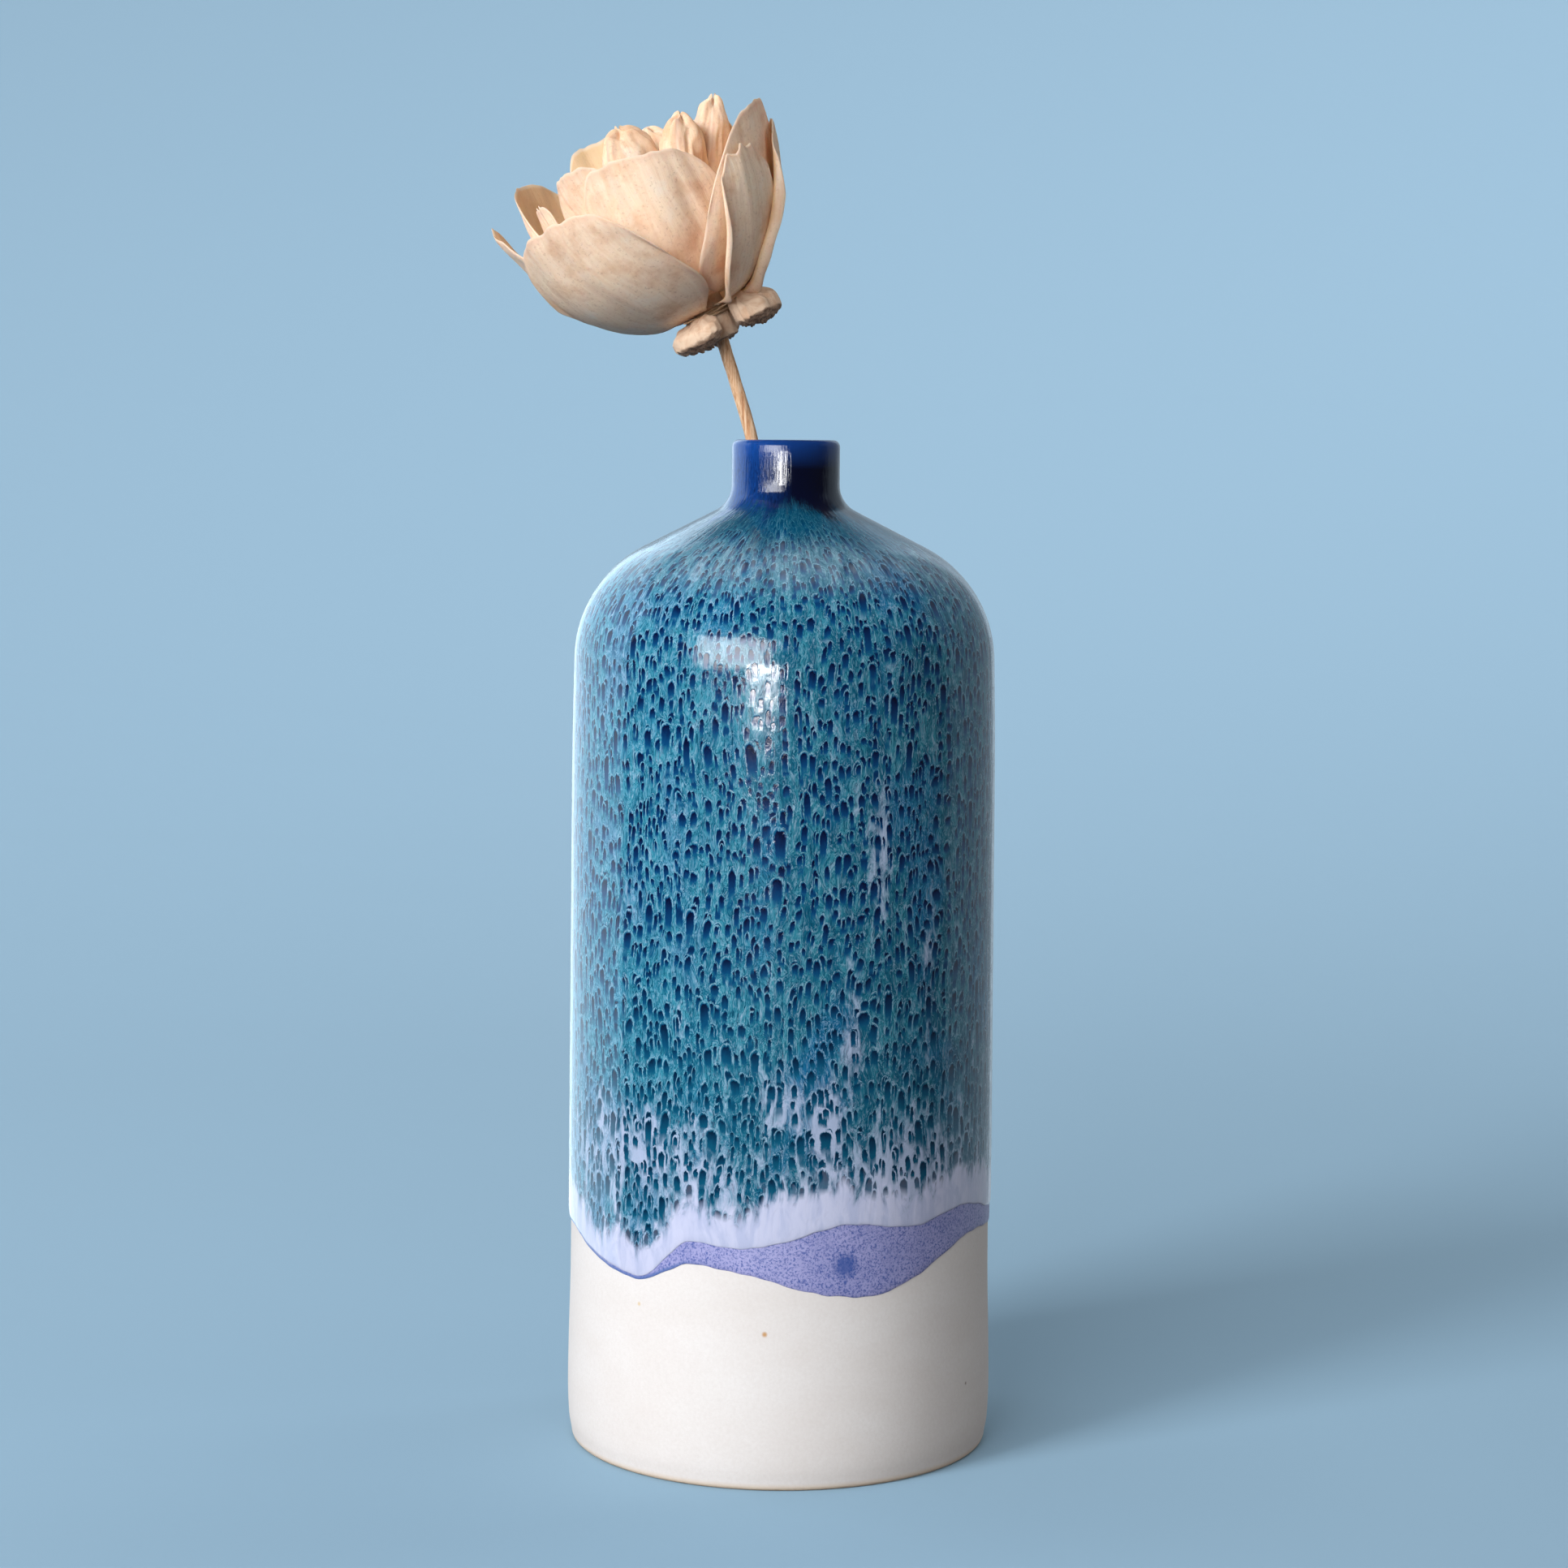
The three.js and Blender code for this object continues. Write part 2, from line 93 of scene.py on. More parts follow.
# Iron specks in the clay: azimuth, height, size and colour.
SPECKS = [(-93.6, 29.0, 0.5, "C08A3E"), (-129.8, 32.1, 0.4, "D8BE8E"), (-29.9, 14.9, 0.35, "6E5A4C"),
          (40, 22, 0.4, "A98450"), (118, 12, 0.45, "8A6A4A")]
CLUSTER = (-72.6, 41.3)  # azimuth and height of the dark cluster in the first glaze

# ---- the stick and the flower ----

STICK_FOOT = (31, 0, 5.35)
STICK_AT_LIP = (-6.15, 0, 188.05)
STICK_TOP = (-12.2, 0, 208.2)
STICK_IN_CORE = 4.2
STICK_TOP_LEAN = 15

HEAD = Matrix.Translation((-13, 0, 211)) @ Matrix.Rotation(math.radians(-27), 4, "Y")
RINGS = [(3.6, 3.1), (3.6, 5.3), (4.4, 8)]  # radius and height at which each ring of petals leaves the core
CLAW = 1.5  # half width of a petal where it leaves the core
PINWHEEL = 0.7  # how far a petal's one edge stands out and its other edge in

# Each petal: ring, azimuth, half width, radius and height of its tip, how squarely its end is cut (blunt), how far
# out its middle swells (belly), the slant of its end, and what dried it out of shape: fold is the depth of its
# lengthwise creases, roll the radius to which a side edge has rolled outwards (below 0 on the side of the lower
# azimuth), curl how far its end turns outwards, and tear how deep its end is torn.
PETALS = {
    "front_left": dict(ring=0, azimuth=-135, half=16, tip=(28, 28), belly=0.98, fold=0.5, curl=0.8),
    "left": dict(ring=0, azimuth=-178, half=13.5, tip=(28.8, 34), blunt=2.4, belly=1, slant=0.06, fold=0.4, curl=1.2),
    "back_left": dict(ring=0, azimuth=122, half=13, tip=(27.5, 32), belly=0.92, fold=0.5, curl=0.8),
    "back_right": dict(ring=0, azimuth=66, half=11.5, tip=(25.5, 31), belly=0.95, fold=0.5, curl=0.6),
    "far_right": dict(ring=0, azimuth=2, half=14, tip=(25.6, 29.4), blunt=2.5, belly=0.91, fold=0.3, roll=-1.3,
                      curl=0.2),
    "front_right": dict(ring=0, azimuth=-47, half=8.5, tip=(26, 26.5), belly=0.93, fold=0.4, roll=-0.8, tear=1.3),
    "front": dict(ring=1, azimuth=-90, half=14.5, tip=(20.5, 32.6), slant=0.05, blunt=5, fold=1.0, curl=0.4),
    "right": dict(ring=1, azimuth=-21, half=18.5, tip=(26, 33), blunt=3, belly=0.9, slant=-0.03, fold=0.6),
    "back": dict(ring=1, azimuth=38, half=8.8, tip=(18.5, 37), fold=0.6, curl=0.5),
    "rear_fold": dict(ring=1, azimuth=108, half=11, tip=(19.5, 42), fold=0.6, curl=0.4),
    "left_cup": dict(ring=1, azimuth=152, half=16, tip=(26, 40), blunt=2.6, fold=0.3, curl=-1.5),
    "mid_left": dict(ring=2, azimuth=-124, half=7.5, tip=(19.5, 35.5), fold=0.6, curl=1.4),
    "inner_left": dict(ring=2, azimuth=-166, half=4.5, tip=(20.5, 33.5), fold=0.3, curl=0.4),
}

# Crumpled inner petals: foot, top, half sizes across and front to back, and the number of creases.
HEART = {
    "left": ((-2.2, -1.8, 13), (-0.5, -3.5, 40.2), (9.2, 6), 6),
    "middle": ((1.6, -1.2, 13.2), (11, -3, 37.6), (6.4, 5.6), 4),
    "right": ((2.6, 1.6, 13.4), (18.2, 3.5, 38.4), (5.2, 4.8), 5),
    "back": ((-0.8, 2.2, 13), (4.5, 8, 39), (7.4, 5), 5),
}

# The folded butt ends: azimuth, half the angle that each spans, its outer radius and the height of its top.
LOBES = {"right": (-14, 46, 12.2, 4.2), "left": (-130, 42, 10.7, 2.3), "back": (107, 44, 11, 3.4)}

THREAD_RING = 3.72
THREAD_HEIGHT = 1.9
LOOSE_ENDS = {
    "left": [(-1.2, -4.1, 2), (-2.2, -4.7, 2.2), (-3, -5.2, 2.1), (-4.0, -5.8, 2.3), (-4.9, -6.5, 2.1),
             (-5.6, -7.2, 2.3)],
    "right": [(1.2, -4.2, 2), (2, -4.9, 2.3), (3, -5.6, 2.1), (4.0, -6.1, 2.3), (4.8, -6.8, 2.2), (5.2, -7.6, 2.4)],
}


# ---- settings ----


def size_setting(name, about, size):
    """A setting in millimetres."""
    return FloatProperty(name=name, description=about, default=size * MM, unit="LENGTH", subtype="DISTANCE")


def colour_setting(name, thing, code):
    """A setting that holds a colour."""
    return StringProperty(name=name, description=f"Colour of {thing} as an sRGB hex value", default=code)


class VaseSettings(bpy.types.PropertyGroup):
    sides: IntProperty(name="Sides", description="Sides of the turned pot", default=288, min=48, max=720)
    drop_spacing: size_setting("Drop spacing", "Distance round the pot between runs of glaze drops", 2.8)
    drop_length: size_setting("Drop pitch", "Distance down the pot from one glaze drop to the next", 5.2)
    clay: colour_setting("Clay", "the bare clay", "E8E7E8")
    teal: colour_setting("Teal", "the running glaze on the body", "0E5A75")
    lilac: colour_setting("Lilac", "the running glaze where it is thin", "C6CCE8")
    violet: colour_setting("Violet", "the first glaze", "8B90C4")


class FlowerSettings(bpy.types.PropertyGroup):
    shaving: size_setting("Shaving", "Thickness of a petal", 0.4)
    stick: size_setting("Stick", "Radius of the stick", 1.22)
    thread: size_setting("Thread", "Radius of the binding thread", 0.26)
    cream: colour_setting("Cream", "the dried petals", "FADFC8")
    warm: colour_setting("Warm", "the petals' darker fibres", "D9A77C")
    edge: colour_setting("Edge", "the petals' dried rims", "C49A82")


class StageSettings(bpy.types.PropertyGroup):
    floor: colour_setting("Floor", "the plain floor and backdrop", "95B5CC")
    key: FloatProperty(name="Key light", description="Power of the window light in watts", default=25, unit="POWER")
    ambient: FloatProperty(name="Ambient", description="Strength of the light from all round", default=0.08)


# ---- tools for meshes ----


def deselect():
    bpy.ops.object.select_all(action="DESELECT")


def named(name):
    """Names the thing just added."""
    piece = bpy.context.object
    piece.name = piece.data.name = name
    return piece


def edit(piece):
    """Opens a piece in edit mode, all selected."""
    bpy.context.view_layer.objects.active = piece
    bpy.ops.object.mode_set(mode="EDIT")
    bpy.ops.mesh.select_all(action="SELECT")


def face_outwards():
    """Turns the faces of the open piece outwards and closes edit mode."""
    bpy.ops.mesh.select_all(action="SELECT")
    bpy.ops.mesh.normals_make_consistent(inside=False)
    bpy.ops.object.mode_set(mode="OBJECT")


def turn(name, outline, sides):
    """Turns an outline of (radius, height) stations about the pot's axis, from its first station to its last."""
    deselect()
    radius, height = outline[0]
    bpy.ops.mesh.primitive_circle_add(vertices=sides, radius=radius * MM, location=(0, 0, 0))
    piece = named(name)
    edit(piece)
    bpy.ops.transform.translate(value=(0, 0, height * MM))
    for next_radius, next_height in outline[1:]:
        rise = {"value": (0, 0, (next_height - height) * MM)}
        bpy.ops.mesh.extrude_region_move(TRANSFORM_OT_translate=rise)
        grow = next_radius / radius
        bpy.ops.transform.resize(value=(grow, grow, 1), center_override=(0, 0, 0))
        radius, height = next_radius, next_height
    bpy.ops.object.mode_set(mode="OBJECT")
    return piece


def close_shell(piece, gap=0.01):
    """Merges points closer than a gap in millimetres, closes open ends and turns the faces outwards."""
    edit(piece)
    bpy.ops.mesh.remove_doubles(threshold=gap * MM)
    bpy.ops.mesh.select_all(action="DESELECT")
    bpy.ops.mesh.select_non_manifold()
    if piece.data.total_vert_sel:
        bpy.ops.mesh.edge_face_add()
    face_outwards()


def shape(piece, place_of):
    """Moves each point of a flower's piece to its place, in millimetres in the head's own frame."""
    for vertex in piece.data.vertices:
        vertex.co = HEAD @ place_of(vertex.co) * MM


def ripple(x, y, z):
    """Smooth noise between -1 and 1."""
    return noise.noise(Vector((x, y, z)))


def polar(radius, angle, height):
    """A point at a radius and height, at an angle in radians."""
    return Vector((radius * math.cos(angle), radius * math.sin(angle), height))


def modify(piece, kind, **settings):
    """Adds a modifier and applies it."""
    bpy.context.view_layer.objects.active = piece
    modifier = piece.modifiers.new(kind.lower(), kind)
    for key, value in settings.items():
        setattr(modifier, key, value)
    bpy.ops.object.modifier_apply(modifier=modifier.name)


def finish_piece(piece, body, node, material, smooth=40):
    """Smooths a piece, gives it its finish, and lets it ride on its body in place of its CAD node."""
    deselect()
    piece.select_set(True)
    bpy.context.view_layer.objects.active = piece
    bpy.ops.object.transform_apply(location=True, rotation=True, scale=True)
    bpy.ops.object.shade_smooth_by_angle(angle=math.radians(smooth))
    piece.data.materials.clear()
    piece.data.materials.append(material)
    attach(piece, body)
    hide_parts(node)


def ease(value, low, high):
    """A smooth step from 0 at low to 1 at high."""
    share = min(max((value - low) / (high - low), 0), 1)
    return share * share * (3 - 2 * share)


# ---- tools for materials ----


def colour(code):
    """Linear RGBA from an sRGB hex value."""
    channels = [int(code[i:i + 2], 16) / 255 for i in (0, 2, 4)]
    return (*[c / 12.92 if c <= 0.04045 else ((c + 0.055) / 1.055) ** 2.4 for c in channels], 1)


def add_node(tree, kind, *inputs, **settings):
    """Adds a node and sets or links its inputs, in order or by name.

    A kind in capitals is a Math operation. A word after any other kind picks its operation, data or blend. A text
    given to an input is an sRGB hex colour, and a node given to one stands for its first output in use.
    """
    name, _, choice = ("Math " + kind if kind.isupper() else kind).partition(" ")
    node = tree.nodes.new(name if name.startswith("Node") else "ShaderNode" + name)
    if choice:
        setattr(node, {"Mix": "data_type", "MapRange": "interpolation_type"}.get(name, "operation"), choice)
    stops = settings.pop("stops", ())
    for place, code in stops[1:-1]:
        node.color_ramp.elements.new(place)
    for i, (place, code) in enumerate(stops):
        node.color_ramp.elements[i].position = place
        node.color_ramp.elements[i].color = colour(code)
    for key, value in settings.items():
        setattr(node, key, value)
    if inputs and isinstance(inputs[0], dict):
        pairs = [(node.inputs[key], value) for key, value in inputs[0].items()]
    else:
        pairs = zip([s for s in node.inputs if s.enabled], inputs)
    for socket, value in pairs:
        if isinstance(value, bpy.types.Node):
            value = next(s for s in value.outputs if s.enabled)
        if isinstance(value, bpy.types.NodeSocket):
            tree.links.new(value, socket)
        else:
            socket.default_value = colour(value) if isinstance(value, str) else value
    return node


def new_material(name):
    """A material with an empty node tree, and the function that adds nodes to it."""
    material = bpy.data.materials.new(name)
    material.use_nodes = True
    material.node_tree.nodes.clear()
    return material, partial(add_node, material.node_tree)


def surface(add, relief, strength, depth, inputs):
    """Ends a material in one Principled shader, with a relief as deep as a depth in metres."""
    bump = add("Bump", {"Strength": strength, "Distance": depth, "Height": relief})
    add("OutputMaterial", add("BsdfPrincipled", {**inputs, "Normal": bump}))


# ---- finishes ----


def drop_group():
    """One layer of the drops that a reactive glaze leaves as it runs: a dark round cap that fades downwards.

    The lattice of drops closes on itself round the pot. Ink is the dark of a drop, Line is 1 on the pale line round
    its cap and -1 on the dark one, and Cover is 1 wherever the drop hides what lies behind it.
    """
    tree = bpy.data.node_groups.new("glaze_drops", "ShaderNodeTree")
    for name in ("Turn", "Height", "Columns", "Pitch", "Seed", "Share"):
        tree.interface.new_socket(name, in_out="INPUT", socket_type="NodeSocketFloat")
    for name in ("Ink", "Line", "Cover"):
        tree.interface.new_socket(name, in_out="OUTPUT", socket_type="NodeSocketFloat")
    add = partial(add_node, tree)
    turned, height, columns, pitch, seed, share = add("NodeGroupInput").outputs[:6]

    around = add("MULTIPLY", turned, columns)
    column = add("FLOOR", around)
    home = add("FLOORED_MODULO", column, columns)
    side = add("SUBTRACT", add("SUBTRACT", around, column), 0.5)
    lift = add("TexWhiteNoise", add("CombineXYZ", home, seed, 0.0))
    levels = add("DIVIDE", height, pitch)
    up = add("MULTIPLY_ADD", lift, 13.0, levels)
    level = add("FLOOR", up)
    rise = add("SUBTRACT", up, level)

    dice = add("TexWhiteNoise", add("CombineXYZ", home, level, seed))
    faces = add("SeparateColor", dice.outputs["Color"])
    half = add("MULTIPLY_ADD", faces.outputs[0], 0.16, 0.2)
    room = add("MULTIPLY_ADD", half, -2.72, 1.0)
    centre = add("MULTIPLY", add("SUBTRACT", faces.outputs[1], 0.5), room)
    across = add("DIVIDE", add("SUBTRACT", side, centre), half)
    spread = add("FRACT", add("MULTIPLY", faces.outputs[0], 7.0))
    length = add("MULTIPLY_ADD", spread, 0.5, 0.6)
    present = add("LESS_THAN", dice, share)

    # The cap is an arch 1.6 times as high as the drop is half wide.
    aspect = add("DIVIDE", POT_ROUND * 1.6, add("MULTIPLY", columns, pitch))
    cap_height = add("MULTIPLY", half, aspect)
    top = add("MULTIPLY_ADD", faces.outputs[2], -0.2, 0.85)
    below_top = add("SUBTRACT", top, rise)
    over_cap = add("SUBTRACT", 1.0, add("DIVIDE", below_top, cap_height))
    fall = add("DIVIDE", below_top, length)
    taper = add("MULTIPLY_ADD", add("MAXIMUM", fall, 0.0), 0.3, 1.0)
    rounded = add("CombineXYZ", add("MULTIPLY", across, taper), add("MAXIMUM", over_cap, 0.0), 0.0)
    reach = add("VectorMath LENGTH", rounded)

    inside = add("MapRange SMOOTHSTEP", reach, 1.05, 0.7, 0.0, 1.0)
    fade = add("MapRange", fall, 0.08, 1.0, 1.0, 0.0)
    ink = add("MULTIPLY", inside, fade)

    # Round the cap runs a pale line and then a dark one, and the whole drop lies over those behind it.
    pale = add("MapRange", add("ABSOLUTE", add("SUBTRACT", reach, 1.13)), 0.04, 0.12, 1.0, 0.0)
    dark = add("MapRange", add("ABSOLUTE", add("SUBTRACT", reach, 1.3)), 0.02, 0.08, 1.0, 0.0)
    line = add("MULTIPLY", add("SUBTRACT", pale, dark), add("MapRange", fall, 0.1, 0.75, 1.0, 0.0))
    drained = add("MapRange SMOOTHSTEP", fall, 0.55, 1.0, 1.0, 0.0)
    cover = add("MapRange", reach, 1.36, 1.28, 0.0, 1.0)
    cover = add("MULTIPLY", add("MULTIPLY", cover, drained), present)
    add("NodeGroupOutput", ink, line, cover)
    return tree


def flow_coordinates(add):
    """Where a point is on the unrolled pot: its share of a turn, its distance up the wall in millimetres, its height
    in millimetres, and its place on a ring on which noise has no seam."""
    place = add("TexCoord").outputs["Object"]
    x, y, z = add("SeparateXYZ", place).outputs
    angle = add("ARCTAN2", y, x)
    share = add("MULTIPLY_ADD", angle, 0.5 / math.pi, 0.5)
    flat = add("VectorMath MULTIPLY", place, (1, 1, 0))
    radius = add("VectorMath LENGTH", flat)
    # On the shoulder the wall runs inwards, so its length grows by more than its height.
    inwards = add("MULTIPLY_ADD", radius, -0.61, 0.61 * 0.039)
    along = add("MULTIPLY", add("ADD", z, inwards), 1000.0)
    height = add("MULTIPLY", z, 1000.0)
    ring = add("VectorMath SCALE", add("VectorMath NORMALIZE", flat), GLAZE_RING)
    return share, along, height, ring


def at(add, ring, along, stretch):
    """Coordinates in millimetres for a pattern that is drawn out down the wall by a factor."""
    drop = add("CombineXYZ", 0.0, 0.0, add("DIVIDE", along, stretch))
    return add("VectorMath ADD", ring, drop)


def running_glaze(settings):
    """Reactive glaze: a glass that separated and ran in the kiln, thick and dark in drops and pale where it is
    thin. It gives a wet gloss over teal drops, cobalt at the neck and lilac white at its lower edge."""
    material, add = new_material("fired_running_glaze")
    share, along, height, ring = flow_coordinates(add)
    above_hem = add("Attribute", attribute_name="above_hem").outputs["Fac"]

    # Flow bands about 2 mm wide and 10 mm long, whose contours are the fine veins, and a finer mottle.
    heave = add("TexNoise", at(add, ring, along, 1.5), 0.2, 2.0)
    swirl = add("VectorMath SCALE", add("VectorMath SUBTRACT", heave.outputs["Color"], (0.5, 0.5, 0.5)), 4.0)
    bent = add("VectorMath ADD", at(add, ring, along, 4.0), swirl)
    streak = add("TexNoise", bent, 0.5, 5.0, 0.55)
    contour = add("ABSOLUTE", add("SINE", add("MULTIPLY", streak, 42.0)))
    bent_fine = add("VectorMath ADD", at(add, ring, along, 2.5), swirl)
    fine = add("TexNoise", bent_fine, 1.8, 4.0, 0.7)
    cloud = add("TexNoise", at(add, ring, along, 2.0), 0.08, 3.0)

    # Drops sit off their lattice by up to 1.5 mm, and their outlines waver by some 0.2 mm.
    drift = add("TexNoise", at(add, ring, along, 2.5), 0.09, 1.0)
    share_bent = add("MULTIPLY_ADD", drift, 0.02, share)
    share_bent = add("MULTIPLY_ADD", fine, 0.003, share_bent)
    along_bent = add("MULTIPLY_ADD", heave, 4.0, along)
    along_bent = add("MULTIPLY_ADD", fine, 1.6, along_bent)

    # Four sizes of drop, the later ones over the earlier: size, seed and how many of the drops are there. Columns
    # are whole numbers, so that the last meets the first.
    ink, line, skirt = 0.0, 0.0, 0.0
    group = drop_group()
    spacing, pitch = settings.drop_spacing / MM, settings.drop_length / MM
    for size, seed, chance in ((0.85, 3.0, 0.9), (1.0, 7.0, 0.75), (0.7, 11.0, 0.5), (1.5, 5.0, 0.3)):
        columns = float(round(POT_ROUND / (spacing * size)))
        layer = add("Group", share_bent, along_bent, columns, pitch * size, seed, chance, node_tree=group)
        layer_ink, layer_line, cover = layer.outputs
        ink = add("Mix", cover, ink, layer_ink)
        line = add("Mix", cover, line, layer_line)
        skirt = add("MAXIMUM", skirt, cover)

    # Ground between the drops: teal to pale turquoise in bands, with pale and dark veins.
    pale = add("MapRange SMOOTHSTEP", streak, 0.4, 0.62, 0.0, 1.0)
    ground = add("Mix RGBA", pale, settings.teal, "2F7F94")
    blue = add("MapRange SMOOTHSTEP", cloud, 0.5, 0.7, 0.0, 0.5)
    ground = add("Mix RGBA", blue, ground, "1F6CA6")
    # Painted light: the ground is lighter and bluer towards the left of the pot, where the light falls, and the violet
    # tint below shows only there.
    painted_left_light = add("MapRange", add("SeparateXYZ", ring), 5.0, -36.0, 0.0, 0.75)
    painted_left_light = add("MULTIPLY", painted_left_light, add("MapRange", fine, 0.35, 0.6, 0.3, 1.0))
    ground = add("Mix RGBA", painted_left_light, ground, "419FC0")
    violet = add("MapRange SMOOTHSTEP", cloud, 0.47, 0.36, 0.0, 0.45)
    ground = add("Mix RGBA", add("MULTIPLY", violet, painted_left_light), ground, "6F7FC0")
    light = add("MULTIPLY_ADD", fine, 3.0, add("MULTIPLY_ADD", line, 0.7, contour))
    light = add("MapRange SMOOTHSTEP", light, 2.1, 3.2, 0.0, 0.7)
    ground = add("Mix RGBA", light, ground, "8FAFC6")
    dark = add("MULTIPLY_ADD", fine, 1.2, add("MULTIPLY_ADD", line, 0.5, contour))
    rivulet = add("TexNoise", at(add, ring, along, 9.0), 0.42, 3.0)
    rivulet = add("ABSOLUTE", add("SINE", add("MULTIPLY", rivulet, 28.0)))
    dark = add("MULTIPLY_ADD", add("MapRange", rivulet, 0.0, 0.35, -0.7, 0.0), 1.0, dark)
    dark = add("MapRange SMOOTHSTEP", dark, 1.2, 0.4, 0.0, 0.95)
    ground = add("Mix RGBA", dark, ground, "053F5C")

    # Lilac white breaks through in bundles of streaks.
    broken = 0.0
    for azimuth, z, wide, tall, strength in LILAC_PATCHES:
        x = add("MULTIPLY_ADD", share, POT_ROUND / wide, -(azimuth / 360 + 0.5) * POT_ROUND / wide)
        y = add("MULTIPLY_ADD", height, 1.0 / tall, -z / tall)
        reach = add("VectorMath LENGTH", add("CombineXYZ", x, y, 0.0))
        spot = add("MapRange", reach, 1.5, 0.3, 0.0, strength)
        broken = add("MAXIMUM", broken, spot)
    low = add("MapRange", above_hem, 6.0, 38.0, 0.6, 0.0)
    broken = add("ADD", broken, low)
    broken = add("MULTIPLY_ADD", streak, 3.0, add("MULTIPLY_ADD", fine, 1.5, broken))
    broken = add("MapRange SMOOTHSTEP", broken, 2.45, 3.6, 0.0, 0.85)
    ground = add("Mix RGBA", broken, ground, "AEBBD9")

    tone = add("ValToRGB", ink, stops=[(0, "1B6F8E"), (0.25, "0C5C80"), (0.5, "044170"), (0.78, "01234F"),
                                       (1, "00072A")])
    green = add("MapRange SMOOTHSTEP", height, 110.0, 60.0, 0.0, 0.55)
    green = add("MULTIPLY", green, add("MapRange", ink, 0.6, 0.95, 1.0, 0.25))
    tone = add("Mix RGBA", green, tone, "07586C")
    depth = add("MapRange", ink, 0.0, 0.5, 0.0, 1.0)
    body = add("Mix RGBA", depth, ground, tone)

    # The shoulder is paler in a ring below the neck.
    ringed = add("MapRange SMOOTHSTEP", height, 160.0, 167.0, 0.0, 0.3)
    below = add("MapRange SMOOTHSTEP", height, 168.0, 173.0, 1.0, 0.0)
    pale_shoulder_ring = add("MapRange", streak, 0.35, 0.6, 0.2, 1.0)
    pale_shoulder_ring = add("MULTIPLY", pale_shoulder_ring, add("MULTIPLY", ringed, below))
    body = add("Mix RGBA", pale_shoulder_ring, body, "A9BECB")

    # The lilac lower edge: a ragged limit that follows the streaks, with lone drops beyond it.
    ragged = add("MULTIPLY_ADD", streak, -16.0, above_hem)
    ragged = add("MULTIPLY_ADD", cloud, -10.0, ragged)
    off_hem = add("MapRange SMOOTHSTEP", ragged, -8.0, -3.0, 0.0, 1.0)
    lone = add("MapRange", add("MULTIPLY_ADD", cloud, -14.0, above_hem), -0.5, 1.0, 0.0, 1.0)
    lone = add("MULTIPLY", lone, add("MapRange", skirt, 0.4, 1.0, 0.0, 0.9))
    lilac = add("Mix RGBA", pale, "B6BFDF", settings.lilac)
    body = add("Mix RGBA", add("MAXIMUM", off_hem, lone), lilac, body)

    # Cobalt at the neck and lip, where the glaze is thickest, over a mottled dark teal.
    mottled = add("MULTIPLY_ADD", fine, 6.0, add("MULTIPLY_ADD", cloud, 14.0, height))
    under_neck = add("MapRange SMOOTHSTEP", mottled, 178.0, 184.0, 0.0, 0.85)
    body = add("Mix RGBA", under_neck, body, add("Mix RGBA", light, "06405C", "2F8094"))
    in_neck = add("MapRange SMOOTHSTEP", mottled, 184.5, 188.0, 0.0, 1.0)
    at_lip = add("MapRange", height, 184.0, 188.0, 0.0, 0.6)
    neck = add("Mix RGBA", at_lip, "00041F", "103F8A")
    # Painted light: the neck is a brighter blue on its left, where the light falls.
    neck = add("Mix RGBA", painted_left_light, neck, "1450A8")
    body = add("Mix RGBA", in_neck, body, neck)

    relief = add("MULTIPLY_ADD", ink, -0.6, streak)
    surface(add, relief, 0.12, 0.0004, {"Base Color": body, "Roughness": 0.09, "IOR": 1.5})
    return material


def violet_glaze(settings):
    """First glaze: a thin satin coat full of undissolved colour grains. It gives a lavender band with a dense blue
    and violet speckle."""
    material, add = new_material("satin_speckled_glaze")
    _, along, height, ring = flow_coordinates(add)
    place = at(add, ring, along, 1.0)
    above_hem = add("Attribute", attribute_name="above_hem").outputs["Fac"]
    # Grains from 0.25 to 0.6 mm, as fine as shows at arm's length.
    grain = add("TexNoise", place, 2.4, 4.0, 0.75)
    speckle = add("TexVoronoi", place, 1.7)
    cloud = add("TexNoise", place, 0.18, 2.0)
    dark = add("MapRange SMOOTHSTEP", grain, 0.47, 0.62, 0.0, 0.95)
    dots = add("MapRange", speckle, 0.28, 0.1, 0.0, 0.7)
    base = add("Mix RGBA", cloud, "ACACDC", settings.violet)
    base = add("Mix RGBA", dark, base, "4058A4")
    base = add("Mix RGBA", dots, base, "5563A6")
    # The outermost edge is a thin blue line.
    line = add("MapRange SMOOTHSTEP", above_hem, 0.25, 0.9, 0.8, 0.0)
    line = add("MULTIPLY", line, add("MapRange", add("SeparateXYZ", ring), -12.0, -20.0, 0.0, 1.0))
    base = add("Mix RGBA", line, base, "4E6FB0")
    # A dark blue cluster a few millimetres across, on the front right.
    spot = polar(GLAZE_RING, math.radians(CLUSTER[0]), CLUSTER[1])
    reach = add("VectorMath DISTANCE", at(add, ring, height, 1.0), spot)
    reach = add("MULTIPLY_ADD", grain, -6.0, reach)
    cluster = add("MapRange", reach, -1.6, 0.2, 0.8, 0.0)
    base = add("Mix RGBA", cluster, base, "2C4F9C")
    surface(add, grain, 0.2, 0.0002, {"Base Color": base, "Roughness": 0.38, "IOR": 1.5})
    return material


